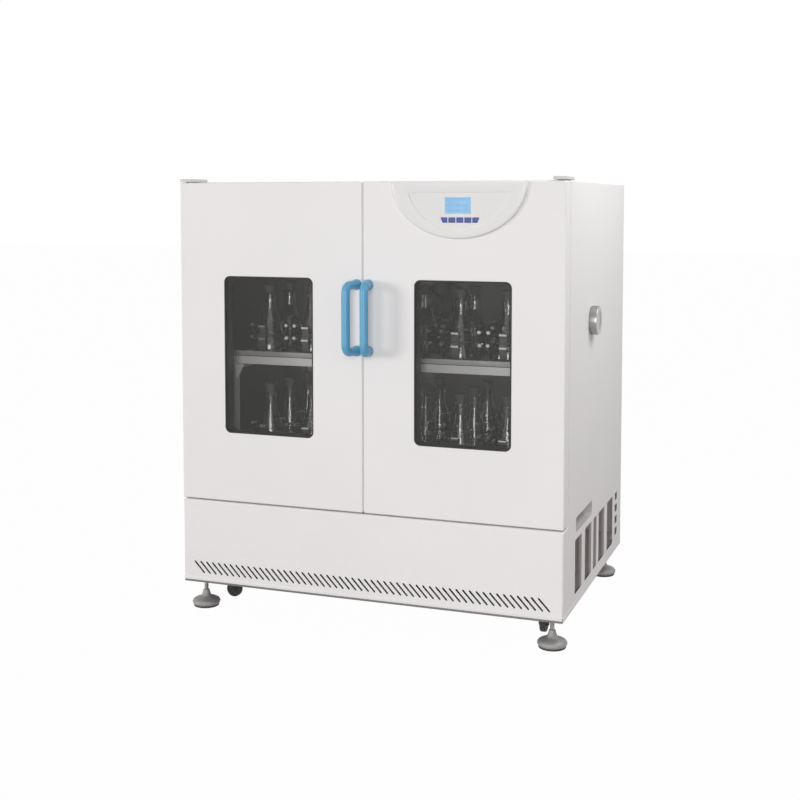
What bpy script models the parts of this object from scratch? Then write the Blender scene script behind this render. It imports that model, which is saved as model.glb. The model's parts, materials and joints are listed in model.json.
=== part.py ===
# Floor-standing incubated orbital shaker with two front doors and two flask decks.
# Places are given as X from the cabinet's middle, Y behind the doors' front face and Z above the floor.
import math

import bmesh
import bpy
from mathutils import Matrix, Vector

for thing in list(bpy.data.objects):
    bpy.data.objects.remove(thing)

# Shared clearances and sheet gauges
gap = 0.0003
overrun = 0.010
sheet = 0.002
thin_sheet = 0.0015

# Sides of round pieces, from pins up to the access port
pin_sides = 12
shaft_sides = 20
port_sides = 28

# Cabinet
cabinet_width = 1.200
cabinet_depth = 0.900
cabinet_top = 1.328
skirt_bottom = 0.102
ledge_top = 0.350
half_width = cabinet_width / 2
middle_y = cabinet_depth / 2

# Doors
door_thickness = 0.055
door_bottom = 0.354
door_top_clearance = 0.002
door_rear_clearance = 0.005
door_middle_gap = 0.003
door_liner_thickness = 0.002
hinge_inset = 0.012
hinge_pin_radius = 0.005
hinge_pin_clearance = 0.0004
hinge_pin_reach = 0.015
door_top = cabinet_top - door_top_clearance
hinge_x = half_width - hinge_inset
hinge_y = door_thickness / 2
shell_front = door_thickness + door_rear_clearance

# Windows
window_inner_x = 0.160
window_side_margin = 0.150
window_bottom_margin = 0.213
window_top_margin = 0.283
window_corner = 0.017
window_outer_x = half_width - window_side_margin
window_bottom = door_bottom + window_bottom_margin
window_top = door_top - window_top_margin
pane_overlap = 0.008
pane_thickness = 0.004
frame_overlap = 0.010

# Door seals
seal_outer_inset = 0.027
seal_inner_inset = 0.0045
seal_end_inset = 0.015
seal_band = 0.012

# Door handles
handle_foot_x = 0.018
handle_bar_x = 0.0285
handle_rise = 0.467
handle_length = 0.219
handle_reach = 0.0745
handle_radius = 0.0125
handle_bend = 0.024
handle_bend_points = 4
handle_foot_run = 0.010
handle_bottom = door_bottom + handle_rise
handle_top = handle_bottom + handle_length

# Hinge brackets on the cabinet's top corners
bracket_width = 0.038
bracket_depth = 0.105
bracket_thickness = 0.0095

# Control moulding on the right door
moulding_x = 0.291
moulding_half_width = 0.203
moulding_drop = 0.163
moulding_thickness = 0.010
face_half_width = 0.152
face_drop = 0.137
face_top_inset = 0.032
face_recess = 0.003
moulding_arc_points = 24
pocket_floor = 0.0015
display_width = 0.077
display_height = 0.047
display_drop = 0.0925
display_recess = 0.0006
key_count = 5
key_pitch = 0.0235
key_width = 0.0200
key_height = 0.0145
key_slant = 0.006
key_drop = 0.117
key_thickness = 0.0050
key_travel = 0.0012
key_clearance = 0.0004
key_row_x = 0.297
display_bottom = door_top - display_drop
key_bottom = door_top - key_drop

# Chamber
chamber_side_wall = 0.050
chamber_floor = 0.400
chamber_top_wall = 0.053
chamber_rear_wall = 0.050
chamber_half_width = half_width - chamber_side_wall
chamber_ceiling = cabinet_top - chamber_top_wall
chamber_back = cabinet_depth - chamber_rear_wall
opening_lip = 0.006
mullion_half_width = 0.025
insulation_floor = 0.040
insulation_clearance = 0.002
rear_panel_thickness = 0.0015
rear_slot_count = 8
rear_slot_length = 0.220
rear_slot_height = 0.006
rear_slot_pitch = 0.018
rear_slot_x = 0.300
rear_slot_bottom = 0.150

# Access port through the right wall
port_y = 0.360
port_z = 0.912
port_tube_radius = 0.030
port_bore_radius = 0.026
port_tube_reach = 0.016
port_hole_clearance = 0.004
port_flange_lap = 0.002
port_flange = 0.002
port_cap_radius = 0.044
port_cap_reach = 0.024
port_cap_edge = 0.003
port_stem_reach = 0.014
port_clearance = 0.0004
port_hole_radius = port_tube_radius + port_hole_clearance
port_flange_radius = port_hole_radius + port_flange_lap

# Hand grips in both sides
grip_front = 0.163
grip_rear = 0.398
grip_rise = 0.003
grip_height = 0.045
grip_depth = 0.040
grip_top = ledge_top + grip_rise
grip_bottom = grip_top - grip_height

# Service cover, the lower part of the right side
cover_margin = 0.007
cover_top = grip_top + cover_margin

# Side vents
vent_bottom = 0.128
vent_top = 0.288
vent_outer_share = 0.2744
vent_inner_share = 0.1167
vent_width = 0.100
vent_middle_width = 0.054
vent_lap = 0.008
louvre_count = 6
louvre_height = 0.010
rear_hole_inset = 0.092
rear_hole_width = 0.040
rear_hole_height = 0.025
rear_hole_bottom = 0.143
rear_hole_pitch = 0.040
rear_hole_count = 4
rear_hole_y = cabinet_depth - rear_hole_inset

# Front skirt
skirt_depth = 0.020
slot_row_margin = 0.044
slot_pitch = 0.0202
slot_run = 0.035
slot_rise = 0.037
slot_width = 0.0042
slot_bottom = 0.120
slot_count = math.floor((cabinet_width - 2 * slot_row_margin) / slot_pitch)

# Base frame
frame_inset = 0.030
frame_bottom = 0.090
frame_height = 0.044
frame_bar = 0.080
frame_wall = 0.003
frame_lip_inset = 0.002
side_bay_width = 0.250
cross_bar_x = half_width - frame_inset - side_bay_width - 1.5 * frame_bar
frame_top = frame_bottom + frame_height

# Levelling feet
foot_side_inset = 0.044
foot_front_y = 0.060
foot_rear_inset = 0.085
foot_rear_y = cabinet_depth - foot_rear_inset
foot_radius = 0.044
foot_rim = 0.010
foot_dome = 0.026
foot_boss = 0.050
foot_boss_radius = 0.013
foot_boss_top_radius = 0.009
foot_stud_radius = 0.0065
foot_stud_clearance = 0.0006
foot_stud_above = 0.026
foot_x = half_width - foot_side_inset

# Casters
caster_side_inset = 0.090
caster_front_y = 0.140
caster_rear_inset = 0.170
caster_rear_y = cabinet_depth - caster_rear_inset
caster_radius = 0.025
caster_width = 0.018
caster_lift = 0.010
caster_trail = 0.012
caster_axle_radius = 0.004
caster_axle_clearance = 0.0004
caster_side_clearance = 0.001
caster_cheek = 0.003
caster_cheek_half_width = 0.010
caster_head_radius = 0.024
caster_head = 0.006
caster_head_clearance = 0.002
caster_stem_radius = 0.005
caster_stem_above = 0.012
caster_hub_recess = 0.002
caster_x = half_width - caster_side_inset

# Air circulation
duct_depth = 0.060
duct_y = chamber_back - duct_depth
duct_side_clearance = 0.0003
duct_inlet_radius = 0.095
duct_slot_length = 0.140
duct_slot_height = 0.010
duct_slot_pitch = 0.022
duct_slot_count = 3
duct_slot_x = 0.330
fan_drop = 0.375
fan_z = chamber_ceiling - fan_drop
fan_radius = 0.085
fan_hub_radius = 0.022
fan_clearance = 0.010
fan_front = duct_y + fan_clearance
fan_depth = 0.028
fan_blade_count = 8
fan_blade = 0.002
fan_shaft_radius = 0.005
fan_shaft_clearance = 0.001
fan_motor_radius = 0.036
fan_motor_depth = 0.034
heater_radius = 0.112
heater_tube_radius = 0.004
heater_clearance = 0.032
heater_y = duct_y + heater_clearance
heater_leg_spacing = 0.020
heater_points = 26

# Orbit table, deck frame and trays
deck_side_clearance = 0.050
deck_front = 0.130
deck_rear_clearance = 0.040
deck_half_width = chamber_half_width - deck_side_clearance
deck_rear = duct_y - deck_rear_clearance
table_thickness = 0.012
lower_tray_top = 0.477
upper_tray_top = 0.792
upper_tray_flange = 0.030
tray_sheet = 0.002
post_width = 0.015
post_depth = 0.030
post_inset = 0.002
rail_height = 0.020
gusset_width = 0.024
gusset_height = 0.056
gusset_thickness = 0.006

# Orbit drive
orbit_radius = 0.013
crank_offset = 0.040
idler_inset = 0.180
idler_spacing = 0.100
crank_y = (deck_front + deck_rear) / 2 - crank_offset
idler_x = deck_half_width - idler_inset
idler_y = crank_y + idler_spacing
shaft_radius = 0.015
shaft_clearance = 0.0004
shaft_bottom_clearance = 0.001
shaft_hole_clearance = 0.004
crank_disc_radius = 0.034
crank_disc = 0.012
crank_disc_lift = 0.0055
crank_pin_radius = 0.010
crank_pin_top_clearance = 0.002
table_lift = 0.0013
bed_side_margin = 0.050
bed_front_margin = 0.060
bed_rear_margin = 0.070
bed_half_width = idler_x + bed_side_margin
bed_front = crank_y - bed_front_margin
bed_rear = idler_y + bed_rear_margin
bed_thickness = 0.012
tower_radius = 0.032
tower_top = 0.335
pulley_lift = 0.003
pulley_height = 0.016
pulley_radius = 0.090
motor_pulley_radius = 0.030
belt_thickness = 0.003
belt_inset = 0.001
motor_offset_x = 0.170
motor_offset_y = 0.020
motor_x = -motor_offset_x
motor_y = crank_y + motor_offset_y
motor_radius = 0.045
motor_shoulder = 0.012
motor_shaft_radius = 0.006
table_bottom = chamber_floor + crank_disc_lift + crank_disc + table_lift
table_top = table_bottom + table_thickness

# Cooling circuit
compressor_inset = 0.220
compressor_x = half_width - compressor_inset
compressor_y = (bed_rear + cabinet_depth - frame_inset) / 2
compressor_radius = 0.072
compressor_height = 0.165
compressor_shoulder = 0.030
compressor_plate_half_depth = 0.075
compressor_plate = 0.004
condenser_rear_margin = 0.030
condenser_length = 0.280
condenser_half_width = 0.028
condenser_x = half_width - frame_inset - frame_bar / 2
condenser_rear = bed_rear - condenser_rear_margin
condenser_front = condenser_rear - condenser_length
condenser_height = 0.160
fin_count = 10
fin_share = 0.5
fin_spine_share = 0.3

# Electrical box with the power inlet
box_side_inset = 0.120
box_width = 0.250
box_depth = 0.120
box_bottom = 0.160
box_height = 0.120
inlet_half_width = 0.016
inlet_half_height = 0.012
inlet_side_inset = 0.080
inlet_rise = 0.040
inlet_reach = 0.003
inlet_socket_wall = 0.004
inlet_socket_depth = 0.015
box_left = box_side_inset - half_width
box_right = box_left + box_width
box_top = box_bottom + box_height
inlet_x = box_left + inlet_side_inset
inlet_z = box_bottom + inlet_rise

collection_name = "incubated_shaker"


def make_collection(name):
    made = bpy.data.collections.new(name)
    bpy.context.scene.collection.children.link(made)
    return made


shaker = make_collection(collection_name)
cutters = make_collection("cutters")

# The cabinet's middle is moved so that the origin lies under the middle of the whole part
datum_place = Vector((-port_cap_reach / 2, -(cabinet_depth + rear_panel_thickness - handle_reach) / 2, 0))


def pivot(name, place, carrier=None):
    """An empty on a joint's axis, or on a fixed datum, with its cabinet place kept."""
    empty = bpy.data.objects.new(name, None)
    shaker.objects.link(empty)
    if carrier:
        empty.parent = carrier
        empty.location = Vector(place) - Vector(carrier["cabinet_place"])
    else:
        empty.location = datum_place
    empty["cabinet_place"] = Vector(place)
    return empty


cabinet = pivot("cabinet_datum", (0, 0, 0))


def material(name, colour, roughness, metallic=0.0):
    made = bpy.data.materials.new(name)
    made.use_nodes = True
    shader = made.node_tree.nodes["Principled BSDF"]
    shader.inputs["Base Color"].default_value = (*colour, 1)
    shader.inputs["Roughness"].default_value = roughness
    shader.inputs["Metallic"].default_value = metallic
    return made


white_paint = ((0.77, 0.76, 0.74), 0.45, 0.0)
grey_paint = ((0.16, 0.16, 0.16), 0.55, 0.0)
steel = ((0.55, 0.55, 0.54), 0.30, 1.0)
zinc = ((0.42, 0.42, 0.41), 0.45, 1.0)
aluminium = ((0.62, 0.62, 0.62), 0.38, 1.0)
foam = ((0.80, 0.76, 0.60), 0.95, 0.0)
black_rubber = ((0.02, 0.02, 0.02), 0.70, 0.0)
black_plastic = ((0.03, 0.03, 0.03), 0.50, 0.0)
white_plastic = ((0.75, 0.75, 0.74), 0.45, 0.0)
blue_plastic = ((0.12, 0.37, 0.60), 0.40, 0.0)
screen_blue = ((0.20, 0.43, 0.68), 0.25, 0.0)
key_blue = ((0.06, 0.09, 0.26), 0.45, 0.0)
smoked_glass = ((0.05, 0.05, 0.05), 0.05, 0.0)


def add(name, mesh, place, carrier, finish, holder=None):
    """Put a mesh into the part at a cabinet place, carried by an empty."""
    thing = bpy.data.objects.new(name, mesh)
    (holder or shaker).objects.link(thing)
    thing.parent = carrier
    thing.location = Vector(place) - Vector(carrier["cabinet_place"])
    if finish:
        mesh.materials.append(material(name, *finish))
    else:
        thing.hide_render = True
        thing.display_type = "WIRE"
    return thing


def boxes_mesh(name, spans, middle):
    """One mesh of boxes, each given by its low and high corner."""
    built = bmesh.new()
    for low, high in spans:
        cube = bmesh.ops.create_cube(built, size=1)
        size = Vector(high) - Vector(low)
        centre = (Vector(high) + Vector(low)) / 2 - middle
        bmesh.ops.scale(built, vec=size, verts=cube["verts"])
        bmesh.ops.translate(built, vec=centre, verts=cube["verts"])
    mesh = bpy.data.meshes.new(name)
    built.to_mesh(mesh)
    built.free()
    return mesh


def box(name, low, high, carrier=cabinet, finish=None, holder=None):
    middle = (Vector(low) + Vector(high)) / 2
    return add(name, boxes_mesh(name, [(low, high)], middle), middle, carrier, finish, holder)


def boolean(target, other, operation):
    step = target.modifiers.new(operation.title(), "BOOLEAN")
    step.operation = operation
    step.object = other
    step.solver = "EXACT"


def cut(target, other):
    boolean(target, other, "DIFFERENCE")


def join(target, other):
    boolean(target, other, "UNION")


def cut_boxes(target, spans):
    """Cut a set of boxes that don't meet each other."""
    name = target.name + "_openings" + str(len(target.modifiers))
    middle = Vector((0, 0, 0))
    cut(target, add(name, boxes_mesh(name, spans, middle), middle, cabinet, None, cutters))


def join_boxes(target, spans):
    """Join a set of boxes that don't meet each other."""
    name = target.name + "_lugs" + str(len(target.modifiers))
    middle = Vector((0, 0, 0))
    join(target, add(name, boxes_mesh(name, spans, middle), middle, cabinet, None, cutters))


turns = {"X": (0, math.pi / 2, 0), "Y": (-math.pi / 2, 0, 0), "Z": (0, 0, 0)}


def cylinder(name, place, radius, length, axis="Z", sides=shaft_sides, carrier=cabinet, finish=None,
             holder=None):
    """A cylinder that starts at the place and runs along its axis."""
    built = bmesh.new()
    bmesh.ops.create_cone(built, cap_ends=True, segments=sides, radius1=radius, radius2=radius,
                          depth=length)
    bmesh.ops.translate(built, vec=(0, 0, length / 2), verts=built.verts)
    mesh = bpy.data.meshes.new(name)
    built.to_mesh(mesh)
    built.free()
    mesh.shade_smooth()
    mesh.set_sharp_from_angle(angle=math.radians(40))
    made = add(name, mesh, place, carrier, finish, holder)
    made.rotation_euler = turns[axis]
    return made


def cut_cylinder(target, place, radius, length, axis="Z", sides=shaft_sides):
    name = target.name + "_bore" + str(len(target.modifiers))
    cut(target, cylinder(name, place, radius, length, axis, sides, cabinet, None, cutters))


def join_cylinder(target, place, radius, length, axis="Z", sides=shaft_sides):
    name = target.name + "_boss" + str(len(target.modifiers))
    join(target, cylinder(name, place, radius, length, axis, sides, cabinet, None, cutters))


def turned(name, profile, place, axis="Z", sides=shaft_sides, carrier=cabinet, finish=None, closed=False,
           holder=None):
    """Turn a profile of (radius, height) points, given from top to bottom, about an axis."""
    mesh = bpy.data.meshes.new(name)
    points = [(radius, 0, height) for radius, height in profile]
    edges = [(index, index + 1) for index in range(len(points) - 1)]
    if closed:
        edges.append((len(points) - 1, 0))
    mesh.from_pydata(points, edges, [])
    made = add(name, mesh, place, carrier, finish, holder)
    made.rotation_euler = turns[axis]
    screw = made.modifiers.new("Screw", "SCREW")
    screw.steps = sides
    screw.render_steps = sides
    screw.use_merge_vertices = True
    screw.merge_threshold = 0.00001
    return made


def plate(name, outline, holes, thickness, place, facing, carrier=cabinet, finish=None, holder=None):
    """A flat outline with holes, extruded to both sides of the place."""
    curve = bpy.data.curves.new(name, "CURVE")
    curve.dimensions = "2D"
    curve.fill_mode = "BOTH"
    curve.extrude = thickness / 2
    for points in [outline] + holes:
        spline = curve.splines.new("POLY")
        spline.points.add(len(points) - 1)
        spline.use_cyclic_u = True
        for point, (across, up) in zip(spline.points, points):
            point.co = (across, up, 0, 1)
    drawn = bpy.data.objects.new(name + "_outline", curve)
    shaker.objects.link(drawn)
    mesh = bpy.data.meshes.new_from_object(drawn.evaluated_get(bpy.context.evaluated_depsgraph_get()))
    bpy.data.objects.remove(drawn)
    weld(mesh)
    made = add(name, mesh, place, carrier, finish, holder)
    facings = {"X": (math.pi / 2, 0, math.pi / 2), "Y": (math.pi / 2, 0, 0), "Z": (0, 0, 0)}
    made.rotation_euler = facings[facing]
    return made


def weld(mesh):
    built = bmesh.new()
    built.from_mesh(mesh)
    bmesh.ops.remove_doubles(built, verts=built.verts, dist=0.00001)
    bmesh.ops.recalc_face_normals(built, faces=built.faces)
    built.to_mesh(mesh)
    built.free()


def tube(name, path, radius, carrier, finish, resolution=2):
    """A round bar along a path of cabinet places."""
    curve = bpy.data.curves.new(name, "CURVE")
    curve.dimensions = "3D"
    curve.bevel_depth = radius
    curve.bevel_resolution = resolution
    curve.use_fill_caps = True
    spline = curve.splines.new("POLY")
    spline.points.add(len(path) - 1)
    for point, place in zip(spline.points, path):
        point.co = (*(Vector(place) - Vector(carrier["cabinet_place"])), 1)
    curve.materials.append(material(name, *finish))
    made = bpy.data.objects.new(name, curve)
    shaker.objects.link(made)
    made.parent = carrier
    return made


def arc(centre, radius, start, end, count):
    """Points on a circle's arc, with angles in degrees."""
    angles = [math.radians(start + (end - start) * step / (count - 1)) for step in range(count)]
    return [(centre[0] + radius * math.cos(angle), centre[1] + radius * math.sin(angle))
            for angle in angles]


def rounded_outline(left, right, bottom, top, radius, count=5):
    corners = [(right, top, 0), (left, top, 90), (left, bottom, 180), (right, bottom, 270)]
    points = []
    for across, up, start in corners:
        inward_x = -radius if across == right else radius
        inward_z = -radius if up == top else radius
        points += arc((across + inward_x, up + inward_z), radius, start, start + 90, count)
    return points


def rectangle(left, right, bottom, top):
    return [(left, bottom), (right, bottom), (right, top), (left, top)]


def mirrored(side, near, far):
    """Low and high X of a span given from the middle outwards."""
    return sorted((side * near, side * far))


def make_base_frame():
    """Channel frame of folded sheet, open upwards, with the lip that the cabinet's sheets stand on
    and the two fixed rear caster forks."""
    left = -half_width + frame_inset
    right = half_width - frame_inset
    front = frame_inset
    rear = cabinet_depth - frame_inset
    half_bar = frame_bar / 2
    bays = [
        (left + frame_bar, -cross_bar_x - half_bar),
        (-cross_bar_x + half_bar, cross_bar_x - half_bar),
        (cross_bar_x + half_bar, right - frame_bar),
    ]
    holes = [rectangle(low, high, front + frame_bar, rear - frame_bar) for low, high in bays]
    middle = frame_bottom + frame_height / 2
    frame = plate("base_frame", rectangle(left, right, front, rear), holes, frame_height,
                  (0, 0, middle), "Z", cabinet, grey_paint)
    wall = frame_wall
    channel_holes = []
    for low, high in bays:
        channel_holes.append(rectangle(low - wall, high + wall, front + frame_bar - wall,
                                       rear - frame_bar + wall))
    channel_outline = rectangle(left + wall, right - wall, front + wall, rear - wall)
    channel_bottom = frame_bottom + wall
    channel_height = frame_height - wall + overrun
    channel = plate("frame_channel", channel_outline, channel_holes, channel_height,
                    (0, 0, channel_bottom + channel_height / 2), "Z", cabinet, None, cutters)
    cut(frame, channel)
    join(frame, make_frame_lip(rectangle(left + wall / 2, right - wall / 2, front + wall / 2,
                                         rear - wall / 2)))
    for side in (-1, 1):
        for place_y in (foot_front_y, foot_rear_y):
            cut_cylinder(frame, (side * foot_x, place_y, frame_bottom - overrun),
                         foot_stud_radius + foot_stud_clearance, frame_wall + 2 * overrun, "Z", pin_sides)
        cut_cylinder(frame, (side * caster_x, caster_front_y, frame_bottom - overrun),
                     caster_stem_radius + caster_axle_clearance, frame_wall + 2 * overrun, "Z", pin_sides)
        join_fixed_fork(frame, side)
    return frame


def make_frame_lip(inner_outline):
    """Folded edge all round the frame: a flat flange, turned up flush under skirt and side sheets."""
    edge = half_width - frame_lip_inset
    front = frame_lip_inset
    rear = cabinet_depth - frame_lip_inset
    height = skirt_bottom - gap - frame_bottom
    lip = plate("frame_lip", rectangle(-edge, edge, front, rear), [inner_outline], height,
                (0, 0, frame_bottom + height / 2), "Z", cabinet, None, cutters)
    wall = frame_wall
    hollow_outline = rectangle(-edge + wall, edge - wall, front + wall, rear - wall)
    hollow_bottom = frame_bottom + wall
    hollow_height = height - wall + overrun
    hollow = plate("frame_lip_hollow", hollow_outline, [], hollow_height,
                   (0, 0, hollow_bottom + hollow_height / 2), "Z", cabinet, None, cutters)
    cut(lip, hollow)
    return lip


def fork_boxes(place_x, place_y, top, along_x):
    """The two cheeks of a caster fork, whose axle runs along X or along Y."""
    near = caster_width / 2 + caster_side_clearance
    far = near + caster_cheek
    low_z = caster_lift + caster_radius - caster_cheek_half_width
    half = caster_cheek_half_width
    spans = []
    for side in (-1, 1):
        inner, outer = sorted((side * near, side * far))
        if along_x:
            spans.append(((place_x + inner, place_y - half, low_z), (place_x + outer, place_y + half, top)))
        else:
            spans.append(((place_x - half, place_y + inner, low_z), (place_x + half, place_y + outer, top)))
    return spans


def join_fixed_fork(frame, side):
    """A rear caster's fork, welded to the frame, with its axle."""
    place_x = side * caster_x
    join_boxes(frame, fork_boxes(place_x, caster_rear_y, frame_bottom + frame_wall / 2, True))
    reach = caster_width / 2 + caster_side_clearance + caster_cheek
    join_cylinder(frame, (place_x - reach - caster_cheek, caster_rear_y, caster_lift + caster_radius),
                  caster_axle_radius, 2 * (reach + caster_cheek), "X", pin_sides)


def vent_windows():
    """Front and rear Y of each vent window in a side."""
    windows = []
    for share in (-vent_outer_share, -vent_inner_share, vent_inner_share, vent_outer_share):
        window_y = middle_y + share * cabinet_depth
        windows.append((window_y - vent_width / 2, window_y + vent_width / 2))
    windows.append((middle_y - vent_middle_width / 2, middle_y + vent_middle_width / 2))
    return windows


def make_shell():
    """Folded sheet steel: the top, the face frame with its middle post, and the ledge under the doors
    that carries their lower pins."""
    outer_x = half_width - sheet - gap
    ledge_bottom = ledge_top - sheet
    face_rear = shell_front + sheet
    shell = box("cabinet_shell", (-outer_x, shell_front, ledge_bottom),
                (outer_x, cabinet_depth, cabinet_top), cabinet, white_paint)
    cut_boxes(shell, [((-outer_x - overrun, face_rear, ledge_bottom - overrun),
                       (outer_x + overrun, cabinet_depth + overrun, cabinet_top - sheet))])
    join_boxes(shell, [((-outer_x, skirt_depth + gap, ledge_bottom), (outer_x, face_rear, ledge_top))])
    door_ways = []
    for side in (-1, 1):
        low_x, high_x = sorted((side * mullion_half_width, side * (chamber_half_width - opening_lip)))
        door_ways.append(((low_x, shell_front - overrun, chamber_floor + opening_lip),
                          (high_x, face_rear + overrun, chamber_ceiling - opening_lip)))
    cut_boxes(shell, door_ways)
    pin_bottom = ledge_top - sheet / 2
    for side in (-1, 1):
        join_cylinder(shell, (side * hinge_x, hinge_y, pin_bottom), hinge_pin_radius,
                      door_bottom + hinge_pin_reach - pin_bottom, "Z", pin_sides)
    return shell


def make_side_sheet(name, side, top):
    """Side sheet up to the given height, with its vent windows, small rear openings and welded hand
    grip, and a bottom flange against the base frame."""
    front = skirt_depth + gap
    outline = [(front, skirt_bottom), (cabinet_depth, skirt_bottom), (cabinet_depth, top),
               (shell_front, top), (shell_front, ledge_top), (front, ledge_top)]
    panel = plate(name, outline, [], sheet, (side * (half_width - sheet / 2), 0, 0), "X",
                  cabinet, white_paint)
    flange_x = mirrored(side, half_width - frame_inset + gap, half_width - sheet / 2)
    flange_bottom = skirt_bottom + sheet / 2
    cup_x = mirrored(side, half_width - grip_depth, half_width - sheet / 2)
    wall = thin_sheet
    join_boxes(panel, [
        ((flange_x[0], front + sheet, flange_bottom),
         (flange_x[1], cabinet_depth - sheet, flange_bottom + sheet)),
        ((cup_x[0], grip_front - wall, grip_bottom - wall), (cup_x[1], grip_rear + wall, grip_top + wall)),
    ])
    hollow_x = mirrored(side, half_width - grip_depth + wall, half_width + overrun)
    cut_boxes(panel, [((hollow_x[0], grip_front, grip_bottom), (hollow_x[1], grip_rear, grip_top))])
    through_x = mirrored(side, half_width - sheet - overrun, half_width + overrun)
    openings = []
    for low, high in vent_windows():
        openings.append(((through_x[0], low, vent_bottom), (through_x[1], high, vent_top)))
    for row in range(rear_hole_count):
        bottom = rear_hole_bottom + row * rear_hole_pitch
        openings.append(((through_x[0], rear_hole_y - rear_hole_width / 2, bottom),
                         (through_x[1], rear_hole_y + rear_hole_width / 2, bottom + rear_hole_height)))
    cut_boxes(panel, openings)
    return panel


def make_side_panels():
    """The left side is one sheet. The right one ends above the service cover, which comes off to reach
    the compressor and condenser, and has the access port's hole."""
    make_side_sheet("side_panel_left", -1, cabinet_top)
    make_side_sheet("service_cover", 1, cover_top)
    outline = rectangle(shell_front, cabinet_depth, cover_top + gap, cabinet_top)
    panel = plate("side_panel_right", outline, [], sheet, (half_width - sheet / 2, 0, 0), "X",
                  cabinet, white_paint)
    cut_cylinder(panel, (half_width - sheet - overrun, port_y, port_z), port_hole_radius,
                 sheet + 2 * overrun, "X", pin_sides)


def liner_shaft_holes(target, bottom, height):
    holes = ((0, crank_y), (-idler_x, idler_y), (idler_x, idler_y))
    for place_x, place_y in holes:
        cut_cylinder(target, (place_x, place_y, bottom), shaft_radius + shaft_hole_clearance, height)


def make_liner():
    """Stainless chamber, open to the front."""
    front = shell_front + sheet + gap
    liner = box("chamber_liner", (-chamber_half_width, front, chamber_floor - thin_sheet),
                (chamber_half_width, chamber_back, chamber_ceiling), cabinet, steel)
    inner_x = chamber_half_width - thin_sheet
    cut_boxes(liner, [((-inner_x, front - overrun, chamber_floor),
                       (inner_x, chamber_back - thin_sheet, chamber_ceiling - thin_sheet))])
    cut_cylinder(liner, (inner_x - overrun, port_y, port_z), port_hole_radius,
                 thin_sheet + 2 * overrun, "X", pin_sides)
    liner_shaft_holes(liner, chamber_floor - thin_sheet - overrun, thin_sheet + 2 * overrun)
    cut_cylinder(liner, (0, chamber_back - thin_sheet - overrun, fan_z),
                 fan_shaft_radius + fan_shaft_clearance, thin_sheet + 2 * overrun, "Y", pin_sides)
    return liner


def make_port_tube():
    """Sleeve through the right wall, with a flange on the chamber's inside."""
    inner_x = chamber_half_width - thin_sheet - gap
    reach = half_width + port_tube_reach - inner_x
    flange = -port_flange
    bore = port_bore_radius
    profile = [(bore, reach), (port_tube_radius, reach), (port_tube_radius, 0),
               (port_flange_radius, 0), (port_flange_radius, flange), (bore, flange)]
    return turned("port_tube", profile, (inner_x, port_y, port_z), "X", port_sides, cabinet, steel, True)


def make_insulation():
    """Foam block round the chamber, between the liner and the cabinet's sheet."""
    outer_x = half_width - sheet - insulation_clearance
    front = shell_front + sheet + gap
    bottom = chamber_floor - thin_sheet - gap - insulation_floor
    rear = cabinet_depth - insulation_clearance
    top = cabinet_top - sheet - insulation_clearance
    jacket = box("insulation_jacket", (-outer_x, front, bottom), (outer_x, rear, top), cabinet, foam)
    inner_x = chamber_half_width + gap
    cut_boxes(jacket, [((-inner_x, front - overrun, chamber_floor - thin_sheet - gap),
                        (inner_x, chamber_back + gap, chamber_ceiling + gap))])
    cut_cylinder(jacket, (inner_x - overrun, port_y, port_z), port_tube_radius + port_clearance,
                 outer_x - inner_x + 2 * overrun, "X", port_sides)
    liner_shaft_holes(jacket, bottom - overrun, insulation_floor + 2 * overrun)
    cut_cylinder(jacket, (0, chamber_back - overrun, fan_z), fan_motor_radius + gap,
                 cabinet_depth - chamber_back + 2 * overrun, "Y")
    return jacket


def make_skirt():
    """Shallow pan in front of the machine bay, with a row of slanting air slots."""
    skirt = box("front_skirt", (-half_width, 0, skirt_bottom), (half_width, skirt_depth, ledge_top),
                cabinet, white_paint)
    wall = thin_sheet
    cut_boxes(skirt, [((-half_width + wall, wall, skirt_bottom + wall),
                       (half_width - wall, skirt_depth + overrun, ledge_top - wall))])
    length = math.hypot(slot_run, slot_rise) - slot_width
    tilt = math.atan2(slot_run, slot_rise)
    built = bmesh.new()
    for index in range(slot_count):
        cube = bmesh.ops.create_cube(built, size=1)
        bmesh.ops.scale(built, vec=(slot_width, 2 * overrun, length), verts=cube["verts"])
        bmesh.ops.rotate(built, matrix=Matrix.Rotation(-tilt, 3, "Y"), verts=cube["verts"])
        place_x = (index - (slot_count - 1) / 2) * slot_pitch
        bmesh.ops.translate(built, vec=(place_x, 0, slot_bottom + slot_rise / 2), verts=cube["verts"])
    mesh = bpy.data.meshes.new("skirt_slots")
    built.to_mesh(mesh)
    built.free()
    cut(skirt, add("skirt_slots", mesh, (0, 0, 0), cabinet, None, cutters))
    return skirt


def make_rear_cover():
    """Flat cover on the cabinet's back, slotted in front of the compressor, with the inlet's hole."""
    panel_x = half_width - sheet
    holes = []
    for row in range(rear_slot_count):
        bottom = rear_slot_bottom + row * rear_slot_pitch
        holes.append(rectangle(rear_slot_x - rear_slot_length / 2, rear_slot_x + rear_slot_length / 2,
                               bottom, bottom + rear_slot_height))
    reach = inlet_half_width + gap
    rise = inlet_half_height + gap
    holes.append(rectangle(inlet_x - reach, inlet_x + reach, inlet_z - rise, inlet_z + rise))
    outline = rectangle(-panel_x, panel_x, skirt_bottom, cabinet_top - sheet)
    return plate("rear_panel", outline, holes, rear_panel_thickness - gap,
                 (0, cabinet_depth + (rear_panel_thickness + gap) / 2, 0), "Y", cabinet, white_paint)


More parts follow.
